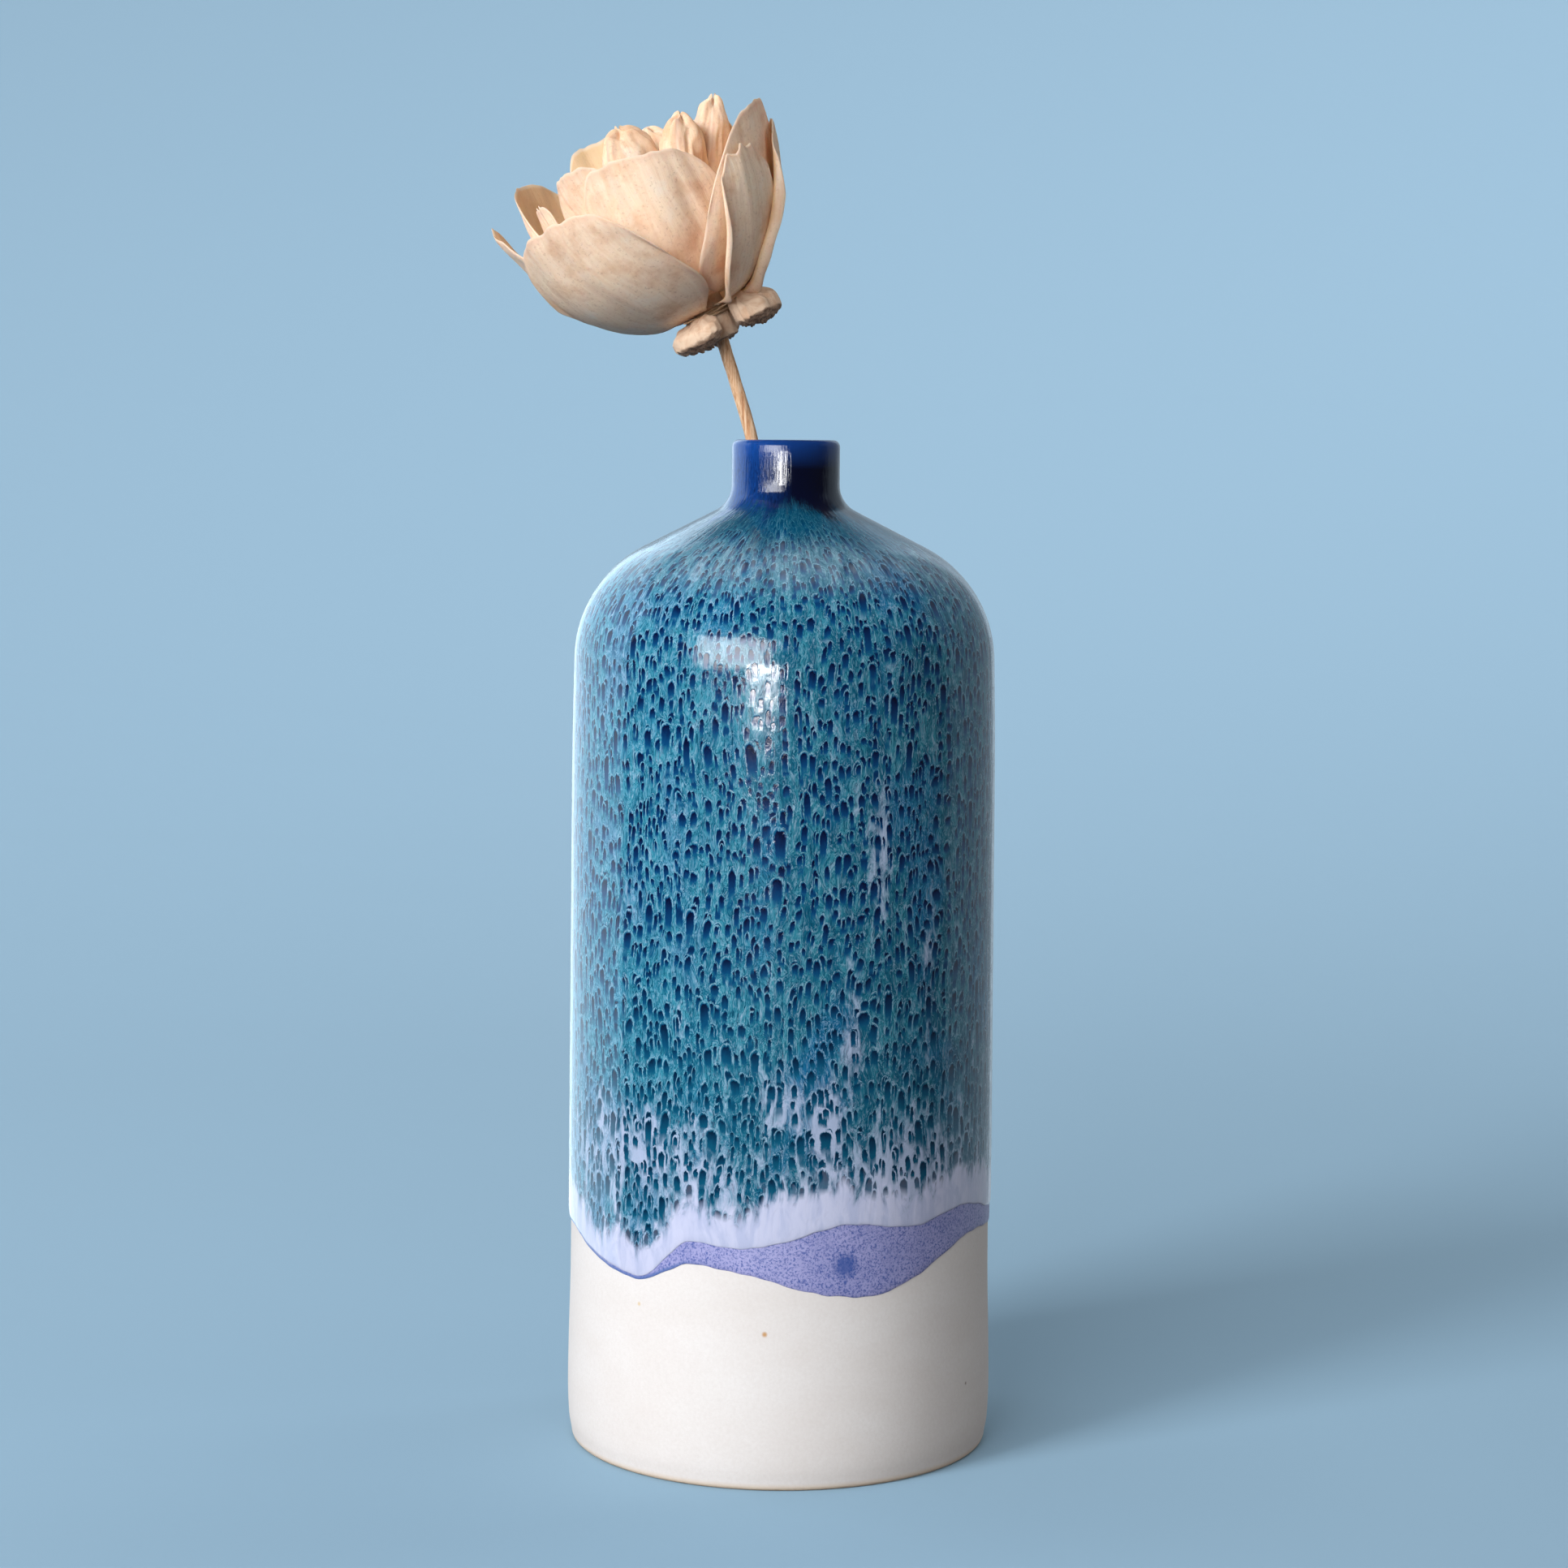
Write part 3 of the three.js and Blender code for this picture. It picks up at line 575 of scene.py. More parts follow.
def bare_clay(settings):
    """Stoneware, thrown, sponged and fired without glaze. It gives a matt warm white with a fine grain, faint
    throwing rings and a few iron specks."""
    material, add = new_material("sponged_white_stoneware")
    _, along, height, ring = flow_coordinates(add)
    place = at(add, ring, along, 1.0)
    grain = add("TexNoise", place, 1.6, 5.0, 0.7)
    cloud = add("TexNoise", at(add, ring, along, 0.5), 0.06, 3.0)
    tint = add("Mix RGBA", cloud, settings.clay, "DDD8D6")
    tint = add("Mix RGBA", add("MapRange", grain, 0.35, 0.7, 0.0, 0.25), tint, "C9C2BE")
    spot = add("TexCoord").outputs["Object"]
    for azimuth, z, size, code in SPECKS:
        reach = add("VectorMath DISTANCE", spot, polar(GLAZE_RING * MM, math.radians(azimuth), z * MM))
        tint = add("Mix RGBA", add("MapRange", reach, size * 0.5 * MM, size * 1.3 * MM, 0.85, 0.0), tint, code)
    foot = add("MapRange SMOOTHSTEP", height, 0.3, 1.6, 0.55, 0.0)
    tint = add("Mix RGBA", foot, tint, "D9BE97")
    surface(add, grain, 0.25, 0.00015, {"Base Color": tint, "Roughness": 0.78, "IOR": 1.45})
    return material


def dried_shaving(settings, name, tint, fibres):
    """Sola wood, shaved thin, wetted to shape and dried. It gives soft lengthwise fibres, blotches where it dried
    darker, and rims that went pink brown."""
    material, add = new_material(name)
    u, v, _ = add("SeparateXYZ", add("UVMap", uv_map="UVMap")).outputs
    place = add("TexCoord").outputs["Object"]
    piece = add("VectorMath SCALE", place, 1000.0)
    # Fibres some 0.4 mm wide that run the whole length of the shaving, which is about 25 mm wide and 40 mm long.
    bend = add("TexNoise", piece, 0.1, 2.0)
    across = add("MULTIPLY", add("MULTIPLY_ADD", bend, 0.12, u), 25.0)
    lengthwise = add("CombineXYZ", across, add("MULTIPLY", v, 3.0), 0.0)
    fibre = add("TexNoise", lengthwise, 1.1, 5.0, 0.65)
    blotch = add("TexNoise", piece, 0.16, 4.0, 0.6)
    freckle = add("TexNoise", piece, 1.6, 3.0, 0.7)
    base = add("Mix RGBA", add("MapRange", fibre, 0.42, 0.7, 0.0, 0.32), tint, fibres)
    base = add("Mix RGBA", add("MapRange", blotch, 0.5, 0.68, 0.0, 0.6), base, "D6A67F")
    base = add("Mix RGBA", add("MapRange", blotch, 0.42, 0.3, 0.0, 0.5), base, "F8EADB")
    base = add("Mix RGBA", add("MapRange", freckle, 0.56, 0.7, 0.0, 0.4), base, "B58A6C")
    # Rims: the outermost half millimetre is pale where the cut shows, and the next two have dried darker.
    side = add("ABSOLUTE", add("SUBTRACT", u, 0.5))
    from_side = add("MULTIPLY", add("SUBTRACT", 0.5, side), 25.0)
    from_end = add("MULTIPLY", add("SUBTRACT", 1.0, v), 40.0)
    from_rim = add("MINIMUM", from_side, from_end)
    uneven = add("MULTIPLY_ADD", blotch, 3.0, from_rim)
    dried = add("MapRange SMOOTHSTEP", uneven, 1.2, 3.2, 0.55, 0.0)
    base = add("Mix RGBA", dried, base, settings.edge)
    # The inside of each petal, which faces the flower's axis, is a warmer yellow.
    outwards = add("VectorMath SUBTRACT", piece, HEAD @ Vector((0, 0, 25)))
    outwards = add("VectorMath NORMALIZE", outwards)
    facing = add("VectorMath DOT_PRODUCT", add("NewGeometry").outputs["Normal"], outwards)
    inner = add("MapRange SMOOTHSTEP", facing, -0.1, -0.5, 0.0, 0.6)
    base = add("Mix RGBA", inner, base, "F2CC98")
    cut = add("MapRange SMOOTHSTEP", from_rim, 0.1, 0.5, 0.6, 0.0)
    base = add("Mix RGBA", cut, base, "EBD3BE")
    relief = add("ADD", fibre, add("MULTIPLY", freckle, 0.3))
    surface(add, relief, 0.3, 0.0003, {"Base Color": base, "Roughness": 0.75, "IOR": 1.4, "Subsurface Weight": 0.25,
                                       "Subsurface Scale": 0.0015, "Subsurface Radius": (1.0, 0.5, 0.25)})
    return material


def cut_pith():
    """Pith, torn and cut across its fibres at the butt of the bundle. It gives smooth cream faces, and a ragged brown
    on the faces that look down along the flower's axis."""
    material, add = new_material("cut_sola_pith")
    place = add("VectorMath SCALE", add("TexCoord").outputs["Object"], 1000.0)
    # The faces that look down along the flower's axis are a ragged brown.
    down = HEAD.to_3x3() @ Vector((0, 0, -1))
    facing = add("VectorMath DOT_PRODUCT", add("NewGeometry").outputs["Normal"], down)
    grit = add("TexNoise", place, 1.3, 6.0, 0.75)
    vein = add("TexNoise", {"Vector": place, "Scale": 0.45, "Detail": 4.0, "Distortion": 1.2})
    torn = add("ADD", facing, add("MULTIPLY_ADD", grit, 1.0, -0.5))
    base = add("Mix RGBA", add("MapRange", vein, 0.45, 0.65, 0.0, 0.6), "EBCFB5", "D2A582")
    rough = add("Mix RGBA", add("MapRange", grit, 0.38, 0.62, 0.0, 1.0), "7A5A47", "C8A68C")
    base = add("Mix RGBA", add("MapRange", torn, 0.2, 0.55, 0.0, 1.0), base, rough)
    surface(add, grit, 0.4, 0.0003, {"Base Color": base, "Roughness": 0.85, "IOR": 1.4})
    return material


def split_stick():
    """A split of dry bamboo or reed, not sanded. It gives long parallel fibres in straw and rust brown."""
    material, add = new_material("split_dry_reed")
    place = add("TexCoord").outputs["Object"]
    # Fibres 0.15 to 0.4 mm wide that run up the stick, which leans about 12 degrees.
    upright = add("Mapping", {"Vector": place, "Rotation": (0, math.radians(12), 0), "Scale": (1000, 1000, 45)})
    fibre = add("TexNoise", upright, 2.2, 5.0, 0.7)
    blotch = add("TexNoise", place, 160.0, 3.0)
    base = add("ValToRGB", fibre, stops=[(0.28, "8A5534"), (0.42, "C8946A"), (0.55, "E2BD98"), (0.75, "F2D9BD")])
    base = add("Mix RGBA", add("MapRange", blotch, 0.45, 0.7, 0.0, 0.4), base, "A9653A")
    surface(add, fibre, 0.7, 0.0004, {"Base Color": base, "Roughness": 0.7, "IOR": 1.45})
    return material


def twisted_thread():
    """Fine raffia thread, twisted. It gives a dull straw line with slanting strands and loose hairs."""
    material, add = new_material("twisted_raffia_thread")
    place = add("VectorMath SCALE", add("TexCoord").outputs["Object"], 1000.0)
    strand = add("TexNoise", {"Vector": place, "Scale": 5.0, "Detail": 4.0, "Distortion": 0.6})
    base = add("Mix RGBA", strand, "D8BC98", "8C6647")
    surface(add, strand, 0.6, 0.0002, {"Base Color": base, "Roughness": 0.85, "IOR": 1.4})
    return material


# ---- shapes of the pot ----


def wall_radius(height):
    """Radius of the bare clay at a height below the shoulder, on one smooth line through the stations."""
    points = [WALL_STATIONS[0], *WALL_STATIONS, WALL_STATIONS[-1]]
    for i in range(1, len(points) - 2):
        (z0, r0), (z1, r1) = points[i], points[i + 1]
        if height <= z1 or i == len(points) - 3:
            rise = z1 - z0
            share = min(max((height - z0) / rise, 0), 1)
            before = (r1 - points[i - 1][1]) / max(z1 - points[i - 1][0], 1e-6)
            after = (points[i + 2][1] - r0) / max(points[i + 2][0] - z0, 1e-6)
            a, b = share * share, share * share * share
            return ((2 * b - 3 * a + 1) * r0 + (b - 2 * a + share) * before * rise
                    + (3 * a - 2 * b) * r1 + (b - a) * after * rise)
    return points[-1][1]


def arc(centre, radius, first, last, steps):
    """Stations on an arc about a centre, from one angle to another in degrees, without the first."""
    angles = [math.radians(first + (last - first) * k / steps) for k in range(1, steps + 1)]
    return [(centre[0] + radius * math.cos(a), centre[1] + radius * math.sin(a)) for a in angles]


def straight(first, last, steps):
    """Stations on a straight line, without the first."""
    return [(first[0] + (last[0] - first[0]) * k / steps,
             first[1] + (last[1] - first[1]) * k / steps) for k in range(1, steps + 1)]


def outside_of_pot(offset, heights):
    """The outside of the pot moved out by an offset: up the wall, round the shoulder and up the neck to the lip."""
    slope = math.radians(SLOPE)
    centre = (WALL_STATIONS[-1][1] - SHOULDER_BEND, SHOULDER_HEIGHT)
    bend, fillet, neck = SHOULDER_BEND + offset, NECK_BEND - offset, NECK_RADIUS + offset
    outline = [(wall_radius(z) + offset, z) for z in heights]
    outline += arc(centre, bend, 0, 90 - SLOPE, 18)
    foot_radius = neck + fillet * (1 - math.sin(slope))
    foot_height = outline[-1][1] + (outline[-1][0] - foot_radius) * math.tan(slope)
    outline += straight(outline[-1], (foot_radius, foot_height), 14)
    hollow = (neck + fillet, foot_height + fillet * math.cos(slope))
    outline += arc(hollow, fillet, 270 - SLOPE, 180, 10)
    outline += straight(outline[-1], (neck, LIP_HEIGHT), 6)
    outline += arc((LIP_CENTRE, LIP_HEIGHT), neck - LIP_CENTRE, 0, 180, 12)
    return outline


def hem_height(hem, azimuth):
    """Height of a wavy edge at an azimuth, with level crests and hollows."""
    laps = [*hem, (hem[0][0] + 360, hem[0][1])]
    reached = azimuth + 360 if azimuth < hem[0][0] else azimuth
    for (a0, z0), (a1, z1) in zip(laps, laps[1:]):
        if reached < a1:
            return z0 + (z1 - z0) * (1 - math.cos(math.pi * (reached - a0) / (a1 - a0))) / 2
    return laps[-1][1]


def wave_hem(piece, hem, edge):
    """Moves a coat's lower edge to its wave and stores each point's distance above it, in millimetres."""
    distances = []
    for vertex in piece.data.vertices:
        x, y, z = vertex.co / MM
        azimuth = math.degrees(math.atan2(y, x))
        # Small wobbles, a few millimetres long, that the brush left.
        wobble = 0.35 * noise.noise(Vector((x, y, 7)) * 0.35)
        target = hem_height(hem, azimuth) + wobble
        share = min(max((HEM_ZONE - z) / (HEM_ZONE - edge), 0), 1)
        height = z + (target - edge) * share
        vertex.co.z = height * MM
        distances.append(height - target)
    attribute = piece.data.attributes.new("above_hem", "FLOAT", "POINT")
    attribute.data.foreach_set("value", distances)


def bead_heights(edge, top, step):
    """Heights up a coat from its lower edge, close together in the bead."""
    in_bead = [edge + d for d in (0, 0.05, 0.15, 0.35, 0.7, 1.1, BEAD)]
    return in_bead + [edge + BEAD + step * (k + 1) for k in range(int((top - edge - BEAD) / step))] + [top]


def bead(outline, edge, inside, outside):
    """Rounds the lower edge of a coat: it starts at its inside and swells to its full thickness."""
    shaped = []
    for radius, height in outline:
        share = min((height - edge) / BEAD, 1)
        if 0 <= share < 1:
            radius += (inside - outside) * (1 - math.sqrt(1 - (1 - share) ** 2)) * 0.85
        shaped.append((radius, height))
    return shaped


class BUDVASE_OT_pot(bpy.types.Operator):
    """Turns the hollow clay pot"""
    bl_idname = "budvase.pot"
    bl_label = "Clay pot"

    def execute(self, context):
        settings = context.scene.bud_vase
        heights = [1.4, 2.2, 3, 4, 5.5, 7.5, 10, 13, 16, 20, 24, 28, 32, 36, 40, 44, 48, 60, 80, 100, 120, 133, 141,
                   148]
        foot_edge = [(FOOT_RADIUS, 0), (39.0, 0.08), (39.3, 0.35), (39.48, 0.8)]
        outline = foot_edge + outside_of_pot(0, heights)
        slope = math.radians(SLOPE)
        inner_bend = SHOULDER_BEND - WALL
        centre = (WALL_STATIONS[-1][1] - SHOULDER_BEND, SHOULDER_HEIGHT)
        neck_inside = 2 * LIP_CENTRE - NECK_RADIUS
        slope_top = (centre[0] + inner_bend * math.sin(slope), centre[1] + inner_bend * math.cos(slope))
        neck_foot = (neck_inside, slope_top[1] + (slope_top[0] - neck_inside) * math.tan(slope))
        corner = 3.5
        inner = centre[0] + inner_bend
        outline += straight(outline[-1], (neck_foot[0], neck_foot[1] + 1), 6)
        outline += straight(outline[-1], slope_top, 6)
        outline += arc(centre, inner_bend, 90 - SLOPE, 0, 12)
        outline += straight(outline[-1], (inner, FLOOR + corner), 6)
        outline += arc((inner - corner, FLOOR + corner), corner, 0, -90, 6)
        outline += straight(outline[-1], (1e-4, FLOOR), 5)
        piece = turn("clay_pot", outline, settings.sides)
        close_shell(piece)
        finish_piece(piece, "vase", "vase_body", bare_clay(settings))
        return {"FINISHED"}


class BUDVASE_OT_coats(bpy.types.Operator):
    """Lays the two coats of glaze over the pot, each with its wavy lower edge"""
    bl_idname = "budvase.coats"
    bl_label = "Glaze coats"

    def execute(self, context):
        settings = context.scene.bud_vase
        coat = BASE_COAT
        heights = bead_heights(coat["edge"], coat["top"], 3)
        outline = [(wall_radius(z) + coat["outside"], z) for z in heights]
        self.lay("violet_coat", coat, outline, BASE_HEM, settings, "violet_glaze", "base_glaze",
                 violet_glaze(settings))
        coat = RUNNING_COAT
        heights = bead_heights(coat["edge"], SHOULDER_HEIGHT, 3)
        outline = outside_of_pot(coat["outside"], heights)
        outline += straight(outline[-1], (outline[-1][0], coat["in_neck"]), 5)
        self.lay("running_coat", coat, outline, RUNNING_HEM, settings, "teal_glaze", "running_glaze",
                 running_glaze(settings))
        return {"FINISHED"}

    def lay(self, name, coat, outline, hem, settings, slot, node, material):
        piece = turn(name, bead(outline, coat["edge"], coat["inside"], coat["outside"]), settings.sides)
        edit(piece)
        face_outwards()
        wave_hem(piece, hem, coat["edge"])
        modify(piece, "SOLIDIFY", thickness=(coat["outside"] - coat["inside"]) * 0.9 * MM, offset=-1)
        finish_piece(piece, "vase", node, material)


# ---- shapes of the flower ----


def rod(name, points, radius, sides, rings_each):
    """A round rod along smooth points, in metres, with flat ends."""
    deselect()
    bpy.ops.curve.primitive_nurbs_path_add()
    curve = bpy.context.object
    spline = curve.data.splines[0]
    spline.points.add(len(points) - len(spline.points))
    for point, place in zip(spline.points, points):
        point.co = (*place, 1)
    spline.use_endpoint_u = True
    spline.order_u = min(4, len(points))
    curve.data.resolution_u = rings_each
    curve.data.bevel_depth = radius
    curve.data.bevel_resolution = sides // 2 - 2
    curve.data.use_fill_caps = True
    bpy.ops.object.convert(target="MESH")
    piece = named(name)
    close_shell(piece, 0.002)
    return piece


def bezier(points, share):
    """A point on a cubic curve."""
    a, b, c, d = points
    rest = 1 - share
    return tuple(rest ** 3 * p + 3 * rest * rest * share * q + 3 * rest * share * share * r + share ** 3 * s for p,
                 q, r, s in zip(a, b, c, d))


class BUDVASE_OT_stick(bpy.types.Operator):
    """Makes the split stick that carries the flower"""
    bl_idname = "budvase.stick"
    bl_label = "Stick"

    def execute(self, context):
        settings = context.scene.dried_flower
        foot, lip, top = Vector(STICK_FOOT), Vector(STICK_AT_LIP), Vector(STICK_TOP)
        lean = math.radians(STICK_TOP_LEAN)
        ahead = Vector((-math.sin(lean), 0, math.cos(lean)))
        up = (lip - foot).normalized()
        bow = [lip, lip + 7 * up, top - 7 * ahead, top + STICK_IN_CORE * ahead]
        points = [foot.lerp(lip, k / 12) for k in range(12)] + [Vector(bezier(bow, k / 8)) for k in range(9)]
        piece = rod("split_stick", [p * MM for p in points], settings.stick, 28, 8)
        # It was split, not turned: lengthwise grooves and a slightly flat side, never prouder than its radius.
        for vertex in piece.data.vertices:
            x, y, z = vertex.co / MM
            groove = ripple(x * 1.4 + z * 0.2, y * 1.4, z * 0.035)
            fibre = ripple(x * 4 + z * 0.8, y * 4, z * 0.08)
            axis_x = self.axis_at(z, points)
            outward = Vector((x - axis_x, y, 0))
            vertex.co += outward * MM * (0.07 * groove + 0.05 * fibre - 0.05)
        finish_piece(piece, "stem", "stick", split_stick(), 60)
        return {"FINISHED"}

    def axis_at(self, height, points):
        for a, b in zip(points, points[1:]):
            if height <= b.z:
                share = (height - a.z) / (b.z - a.z)
                return a.x + (b.x - a.x) * share
        return points[-1].x


def cup(petal, share):
    """Radius and height on a petal's middle line."""
    radius, height = RINGS[petal["ring"]]
    tip_radius, tip_height = petal["tip"]
    points = [(radius, height), (0.43 * tip_radius, height - 1.2),
              (petal.get("belly", 1) * tip_radius, 0.4 * tip_height), (tip_radius, tip_height)]
    return bezier(points, share)


def petal_half_width(half, share):
    """Half the width of a petal: a narrow claw that widens to a broad blade."""
    return (CLAW + (half - CLAW) * ease(share, -0.08, 0.55)) * (1 - 0.1 * ease(share, 0.75, 1))


def petal_point(petal, seed, s, t):
    """A point of a petal at a share across, from -1 to 1, and a share along, in the head's own frame."""
    ragged = 0.012 * ripple(s * 5, seed, 0) + 0.008 * ripple(s * 17, seed, 3)
    tear = petal.get("tear", 0)
    if tear:
        teeth = abs(ripple(s * 2.1, seed, 9)) + 0.25 * abs(ripple(s * 7, seed, 5))
        ragged -= tear * 0.03 * teeth * 2
    end = 0.28 * (1 - math.sqrt(max(1 - abs(s) ** petal.get("blunt", 4), 0)))
    reach = 1 - end - petal.get("slant", 0) * s + ragged * ease(t, 0.5, 1)
    share = t * reach
    radius, height = cup(petal, share)
    ahead = Vector(cup(petal, share + 0.01)) - Vector((radius, height))
    ahead.normalize()
    grow = ease(share, 0, 0.3)
    width = petal_half_width(petal["half"], share)
    out = -s * PINWHEEL * grow
    lateral = s * width

    # Lengthwise creases that fan from the claw, deepest past the middle.
    fold = petal.get("fold", 0)
    crease = ripple(s * 2.2, t * 0.9, seed * 3.7) + 0.4 * ripple(s * 5, t * 1.5, seed)
    crease += 0.1 * ripple(s * 9, t * 7, seed + 40)
    out += fold * crease * ease(t, 0.15, 0.7) * 1.5
    # The rim waves a little, and its end turns outwards or inwards.
    rim = max(abs(s) ** 6, ease(t, 0.75, 1))
    out += 0.5 * ripple(s * 4, t * 5, seed + 20) * rim
    out += petal.get("curl", 0) * ease(t, 0.8, 1) ** 2
    roll = petal.get("roll", 0)
    if roll and s * roll > 0:
        radius_of_roll = abs(roll)
        flat = max(width - 2.6 * radius_of_roll, 0.3 * width)
        beyond = abs(lateral) - flat
        if beyond > 0:
            turned = beyond / radius_of_roll * ease(t, 0.12, 0.35)
            turned = min(turned, math.pi * 1.1)
            eased = ease(t, 0.12, 0.35)
            rolled = flat + radius_of_roll * math.sin(turned) if eased > 0 else abs(lateral)
            lateral = math.copysign(rolled * eased + abs(lateral) * (1 - eased), s)
            out += radius_of_roll * (1 - math.cos(turned)) * eased
    azimuth = math.radians(petal["azimuth"]) + lateral / max(radius, 3)
    radius += out * ahead.y
    height -= out * ahead.x
    return polar(radius, azimuth, height)


class BUDVASE_OT_petals(bpy.types.Operator):
    """Shapes the thirteen large petals from flat shavings"""
    bl_idname = "budvase.petals"
    bl_label = "Petals"

    def execute(self, context):
        settings = context.scene.dried_flower
        material = dried_shaving(settings, "dried_wood_shaving", settings.cream, settings.warm)
        for seed, (name, petal) in enumerate(PETALS.items()):
            deselect()
            bpy.ops.mesh.primitive_grid_add(x_subdivisions=30, y_subdivisions=36, size=2, location=(0, 0, 0))
            piece = named("petal_" + name + "_shaving")
            shape(piece, lambda flat: petal_point(petal, seed, flat.x, (flat.y + 1) / 2))
            modify(piece, "SOLIDIFY", thickness=settings.shaving, offset=0)
            modify(piece, "SUBSURF", levels=1, render_levels=1)
            finish_piece(piece, "flower", "petal_" + name, material, 60)
        return {"FINISHED"}


class BUDVASE_OT_heart(bpy.types.Operator):
    """Crumples the four inner petals in the heart of the flower"""
    bl_idname = "budvase.heart"
    bl_label = "Heart petals"

    def execute(self, context):
        settings = context.scene.dried_flower
        material = dried_shaving(settings, "crumpled_heart_shaving", "EDD0B4", "C4936E")
        for seed, (name, (foot, top, half, creases)) in enumerate(HEART.items()):
            deselect()
            bpy.ops.mesh.primitive_uv_sphere_add(segments=72, ring_count=44, radius=1, location=(0, 0, 0))
            piece = named("heart_petal_" + name + "_shaving")
            shape(piece, lambda place: self.heart_point(place, seed, Vector(foot), Vector(top), half, creases))
            finish_piece(piece, "flower", "heart_petal_" + name, material, 70)
        return {"FINISHED"}

    def heart_point(self, place, seed, foot, top, half, creases):
        """A point of a crumpled petal, from a point on a ball: folds run from its foot and gather at its tip."""
        x, y, z = place
        gather = ease(z, -0.2, 1)
        wave = math.cos(creases * math.atan2(y, x) + 2.5 * z + 7 * ripple(x, y, z * 0.7 + seed * 5))
        crumple = 1.5 * ripple(x * 2.1, y * 2.1, z * 2 + seed * 7)
        fine = 1 - 2 * abs(ripple(x * 3.6, y * 3.6, z * 1.6 + seed))
        swell = (0.66 + 0.34 * z) * (1 - gather * (0.06 + 0.08 * wave) + 0.12 * crumple + 0.1 * (fine - 0.5))
        pinch = 1 - 0.045 * gather * (1 + wave) - 0.07 * crumple * gather
        along = top - foot
        local = Vector((x * swell * half[0], y * swell * half[1], z * pinch * along.length / 2))
        return (foot + top) / 2 + along.to_track_quat("Z", "Y").to_matrix() @ local


class BUDVASE_OT_collar(bpy.types.Operator):
    """Makes the pith core and the three folded butt ends below the binding"""
    bl_idname = "budvase.collar"
    bl_label = "Core and collar"

    def execute(self, context):
        settings = context.scene.dried_flower
        material = cut_pith()
        core = self.core()
        finish_piece(core, "flower", "flower_core", material, 80)
        for seed, (side, lobe) in enumerate(LOBES.items()):
            deselect()
            bpy.ops.mesh.primitive_uv_sphere_add(segments=112, ring_count=64, radius=1, location=(0, 0, 0))
            piece = named("collar_lobe_" + side + "_butt")
            shape(piece, lambda place: self.lobe_point(place.normalized(), seed, *lobe))
            finish_piece(piece, "flower", "collar_lobe_" + side, material, 80)
        return {"FINISHED"}

    def core(self):
        """A finer copy of the CAD core, a little rough all over."""
        deselect()
        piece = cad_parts["flower_core"].copy()
        piece.data = piece.data.copy()
        piece.name = piece.data.name = "pith_core"
        for key in list(piece.keys()):
            del piece[key]
        piece.parent = None
        bpy.context.scene.collection.objects.link(piece)
        piece.hide_render = piece.hide_viewport = False
        piece.select_set(True)
        bpy.context.view_layer.objects.active = piece
        close_shell(piece)
        modify(piece, "REMESH", mode="VOXEL", voxel_size=0.25 * MM)
        modify(piece, "SMOOTH", factor=0.6, iterations=6)
        places = [vertex.co / MM for vertex in piece.data.vertices]
        depths = [noise.noise(place * 1.1) + 0.5 * noise.noise(place * 1.1 * 2.7) for place in places]
        for vertex, depth in zip(piece.data.vertices, depths):
            vertex.co += vertex.normal * (0.12 * MM * depth)
        return piece

    def lobe_point(self, place, seed, azimuth, half_angle, reach, top):
        """A point of a lobe, puffed and creased above and torn ragged below, from a point on a ball."""
        x, y, z = (math.copysign(abs(c) ** power, c) for c, power in zip(place, (0.8, 0.75, 0.5)))
        crease = ripple(x * 0.7, y * 2.4, seed * 5) + 0.4 * ripple(x * 2, y * 5, seed)
        torn = ripple(x * 4, y * 6, seed + 9) + 0.6 * ripple(x * 8, y * 9, seed + 2)
        radius = 3.7 + (reach - 3.7) * (1 + x) / 2 * (1 + 0.1 * crease)
        if z > 0:
            height = top * z * (1 - 0.55 * ease(x, -0.3, 1)) + 1.3 * crease * z
        else:
            height = 2.9 * z * (1 - 0.25 * ease(x, 0, 1)) + 0.85 * torn * -z
            radius += 0.4 * torn * -z
        angle = math.radians(azimuth + half_angle * y * (1 + 0.06 * torn))
        return polar(radius, angle, height - 0.12 * (radius - 4))


class BUDVASE_OT_thread(bpy.types.Operator):
    """Winds the binding thread and draws out its loose ends"""
    bl_idname = "budvase.thread"
    bl_label = "Binding thread"

    def execute(self, context):
        settings = context.scene.dried_flower
        material = twisted_thread()
        turns, steps = 3, 24
        points = []
        for k in range(turns * steps + 1):
            angle = 2 * math.pi * k / steps
            ring = THREAD_RING + 0.12 * math.sin(3 * angle + 1)
            height = THREAD_HEIGHT + (k / (turns * steps) - 0.5) * 1.5
            points.append(HEAD @ polar(ring, angle, height) * MM)
        winding = rod("thread_winding", points, settings.thread, 10, 2)
        # Torn fibres stand off the binding all round the waist.
        for k in range(26):
            angle = 2 * math.pi * (k + 0.6 * ripple(k * 0.7, 3, 1)) / 26
            sway, lift = (ripple(k * 1.3, row, 5) for row in (1, 8))
            route = [(THREAD_RING + 0.1 + 3.2 * share, angle + sway * share ** 2 * 1.6,
                      THREAD_HEIGHT + 0.4 + (1.2 + 3 * lift) * share) for share in (0, 0.2, 0.4, 0.6, 0.8, 1)]
            points = [HEAD @ polar(*station) * MM for station in route]
            fibre = rod("torn_fibre", points, 0.07 * MM, 6, 4)
            deselect()
            fibre.select_set(True)
            winding.select_set(True)
            bpy.context.view_layer.objects.active = winding
            bpy.ops.object.join()
        finish_piece(winding, "flower", "binding_thread", material, 80)
        for side, route in LOOSE_ENDS.items():
            points = [HEAD @ Vector(p) * MM for p in route]
            end = rod("thread_tail_" + side, points, settings.thread * 0.6, 8, 10)
            finish_piece(end, "flower", "thread_end_" + side, material, 80)
        return {"FINISHED"}


# ---- the stage ----


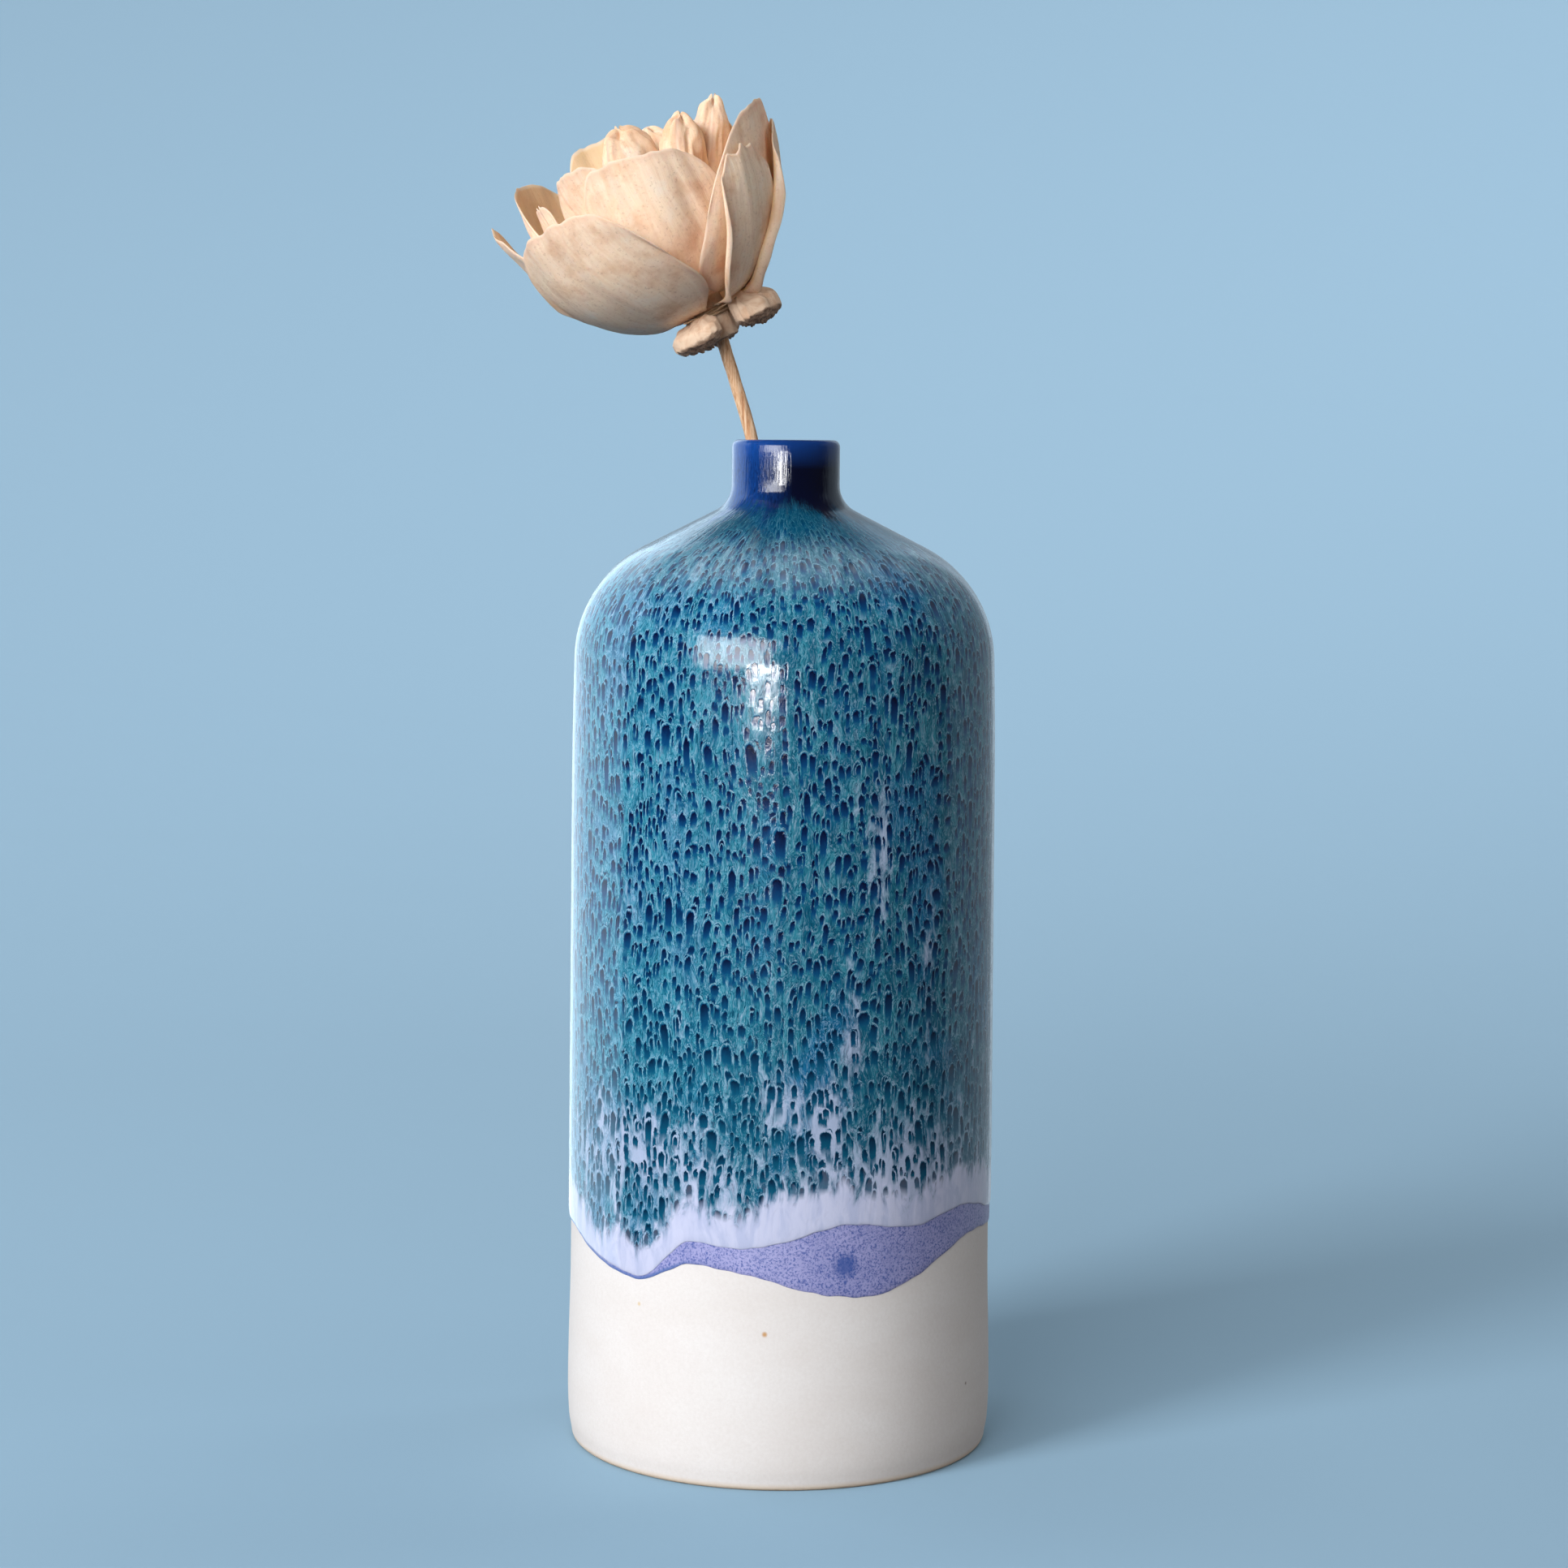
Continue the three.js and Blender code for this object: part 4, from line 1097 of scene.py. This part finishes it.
def aim(thing, place, target):
    """Puts a light at a place, in metres, and turns it to a target."""
    thing.location = place
    thing.rotation_euler = (Vector(target) - Vector(place)).to_track_quat("-Z", "Y").to_euler()


class BUDVASE_OT_stage(bpy.types.Operator):
    """Sets the floor, the backdrop, the soft lights and the camera"""
    bl_idname = "budvase.stage"
    bl_label = "Stage"

    def execute(self, context):
        settings = context.scene.bud_vase_stage
        scene = context.scene
        scene.view_settings.view_transform = "Standard"

        # A round sweep: level out to 400 mm from the vase, then rising on a wide bend on every side.
        floor = turn("paper_sweep", [(1, 0), (60, 0), (400, 0), *arc((400, 2400), 2400, -90, -5, 60)], 128)
        bpy.ops.object.shade_smooth()
        material, add = new_material("matt_paper_sweep")
        grain = add("TexNoise", add("TexCoord").outputs["Object"], 900.0)
        tint = add("Mix RGBA", add("MapRange", grain, 0.3, 0.7, 0.0, 0.06), settings.floor,
                   "8FAFC6")
        add("OutputMaterial", add("BsdfPrincipled", {"Base Color": tint, "Roughness": 0.9, "Specular IOR Level": 0.0}))
        floor.data.materials.append(material)
        # The paper shows only to the camera: it throws no light, reflection or shadow on the vase.
        floor.visible_diffuse = floor.visible_glossy = floor.visible_shadow = False

        lights = (
            # name, place, target, width, height, power as a share of the key light's, tint, where it shows
            ("window", (-0.75, -1.4, 0.55), (0, 0, 0.12), 1.15, 0.7, 1.0, "FFFFFF", "glossy"),
            ("low_pane", (-0.3, -1.55, 0.185), (0, 0, 0.185), 0.42, 0.14, 0.24, "FFFFFF", "glossy"),
            ("window_light", (-0.75, -1.4, 0.52), (0, 0, 0.12), 1.15, 0.75, 0.84, "FFFFFF", "diffuse"),
            ("key", (-1.0, -0.87, 0.85), (0, 0, 0.1), 0.45, 0.45, 0.62, "FFFFFF", "diffuse"),
            ("right_fill", (1.5, -0.3, 0.5), (0, 0, 0.12), 1.2, 1.0, 0.16, "FFFFFF", "diffuse"),
            ("back_left_card", (-0.85, 0.75, 0.25), (0, 0, 0.12), 1.7, 1.5, 0.72, "C4DCEE", "glossy"),
            ("back_right_card", (0.85, 0.75, 0.25), (0, 0, 0.12), 1.5, 1.5, 0.13, "C4DCEE", "glossy"),
            ("backdrop_card", (0, 1.1, 0.35), (0, 0, 0.35), 0.9, 1.6, 0.1, "C4DCEE", "glossy"),
            ("overhead", (0, 0.1, 1.6), (0, 0, 0.1), 1.6, 1.2, 0.12, "FFFFFF", "diffuse"),
            ("backdrop_light", (0.4, 0.5, 1.7), (0.1, 2.6, 0.5), 2.4, 0.6, 1.45, "FFFFFF", "diffuse"),
        )
        for name, place, target, width, height, power, tint, shows in lights:
            bpy.ops.object.light_add(type="AREA")
            light = bpy.context.object
            light.name = name
            light.data.shape = "RECTANGLE"
            light.data.size, light.data.size_y = width, height
            light.data.energy = power * settings.key
            light.data.color = colour(tint)[:3]
            light.visible_camera = False
            light.visible_diffuse = "diffuse" in shows
            light.visible_glossy = "glossy" in shows
            aim(light, place, target)

        world = bpy.data.worlds.new("soft_room")
        world.use_nodes = True
        world.node_tree.nodes["Background"].inputs[0].default_value = colour("F4F2F0")
        world.node_tree.nodes["Background"].inputs[1].default_value = settings.ambient
        scene.world = world

        bpy.ops.object.camera_add()
        camera = bpy.context.object
        camera.name = "product_camera"
        # Level with the lip, 645 mm in front of the vase, 5 degrees down, with the lens shifted to the vase's middle.
        camera.matrix_world = (Matrix.Translation((0.00007, -0.64494, 0.18934))
                               @ Matrix.Rotation(math.radians(90 - 4.952), 4, "X")
                               @ Matrix.Rotation(math.radians(0.491), 4, "Z"))
        camera.data.sensor_width = 36
        camera.data.lens = 78.74
        camera.data.shift_y = -0.03
        camera.data.clip_start, camera.data.clip_end = 0.01, 50
        scene.camera = camera
        return {"FINISHED"}


class BUDVASE_PT_panel(bpy.types.Panel):
    """Lists the pieces of the bud vase"""
    bl_idname = "BUDVASE_PT_panel"
    bl_label = "Bud vase"
    bl_space_type = "VIEW_3D"
    bl_region_type = "UI"
    bl_category = "Bud vase"

    def draw(self, context):
        layout = self.layout
        for group in (context.scene.bud_vase, context.scene.dried_flower, context.scene.bud_vase_stage):
            box = layout.box()
            for name in group.__annotations__:
                box.prop(group, name)
        for operator in OPERATORS:
            layout.operator(operator.bl_idname)


OPERATORS = (BUDVASE_OT_stage, BUDVASE_OT_pot, BUDVASE_OT_coats, BUDVASE_OT_stick, BUDVASE_OT_petals,
             BUDVASE_OT_heart, BUDVASE_OT_collar, BUDVASE_OT_thread)
CLASSES = (VaseSettings, FlowerSettings, StageSettings, *OPERATORS, BUDVASE_PT_panel)


def register():
    for cls in CLASSES:
        bpy.utils.register_class(cls)
    bpy.types.Scene.bud_vase = PointerProperty(type=VaseSettings)
    bpy.types.Scene.dried_flower = PointerProperty(type=FlowerSettings)
    bpy.types.Scene.bud_vase_stage = PointerProperty(type=StageSettings)


def unregister():
    del bpy.types.Scene.bud_vase_stage
    del bpy.types.Scene.dried_flower
    del bpy.types.Scene.bud_vase
    for cls in reversed(CLASSES):
        bpy.utils.unregister_class(cls)


def main():
    register()
    bpy.ops.budvase.stage()
    bpy.ops.budvase.pot()
    bpy.ops.budvase.coats()
    bpy.ops.budvase.stick()
    bpy.ops.budvase.petals()
    bpy.ops.budvase.heart()
    bpy.ops.budvase.collar()
    bpy.ops.budvase.thread()


if __name__ == "__main__":
    main()
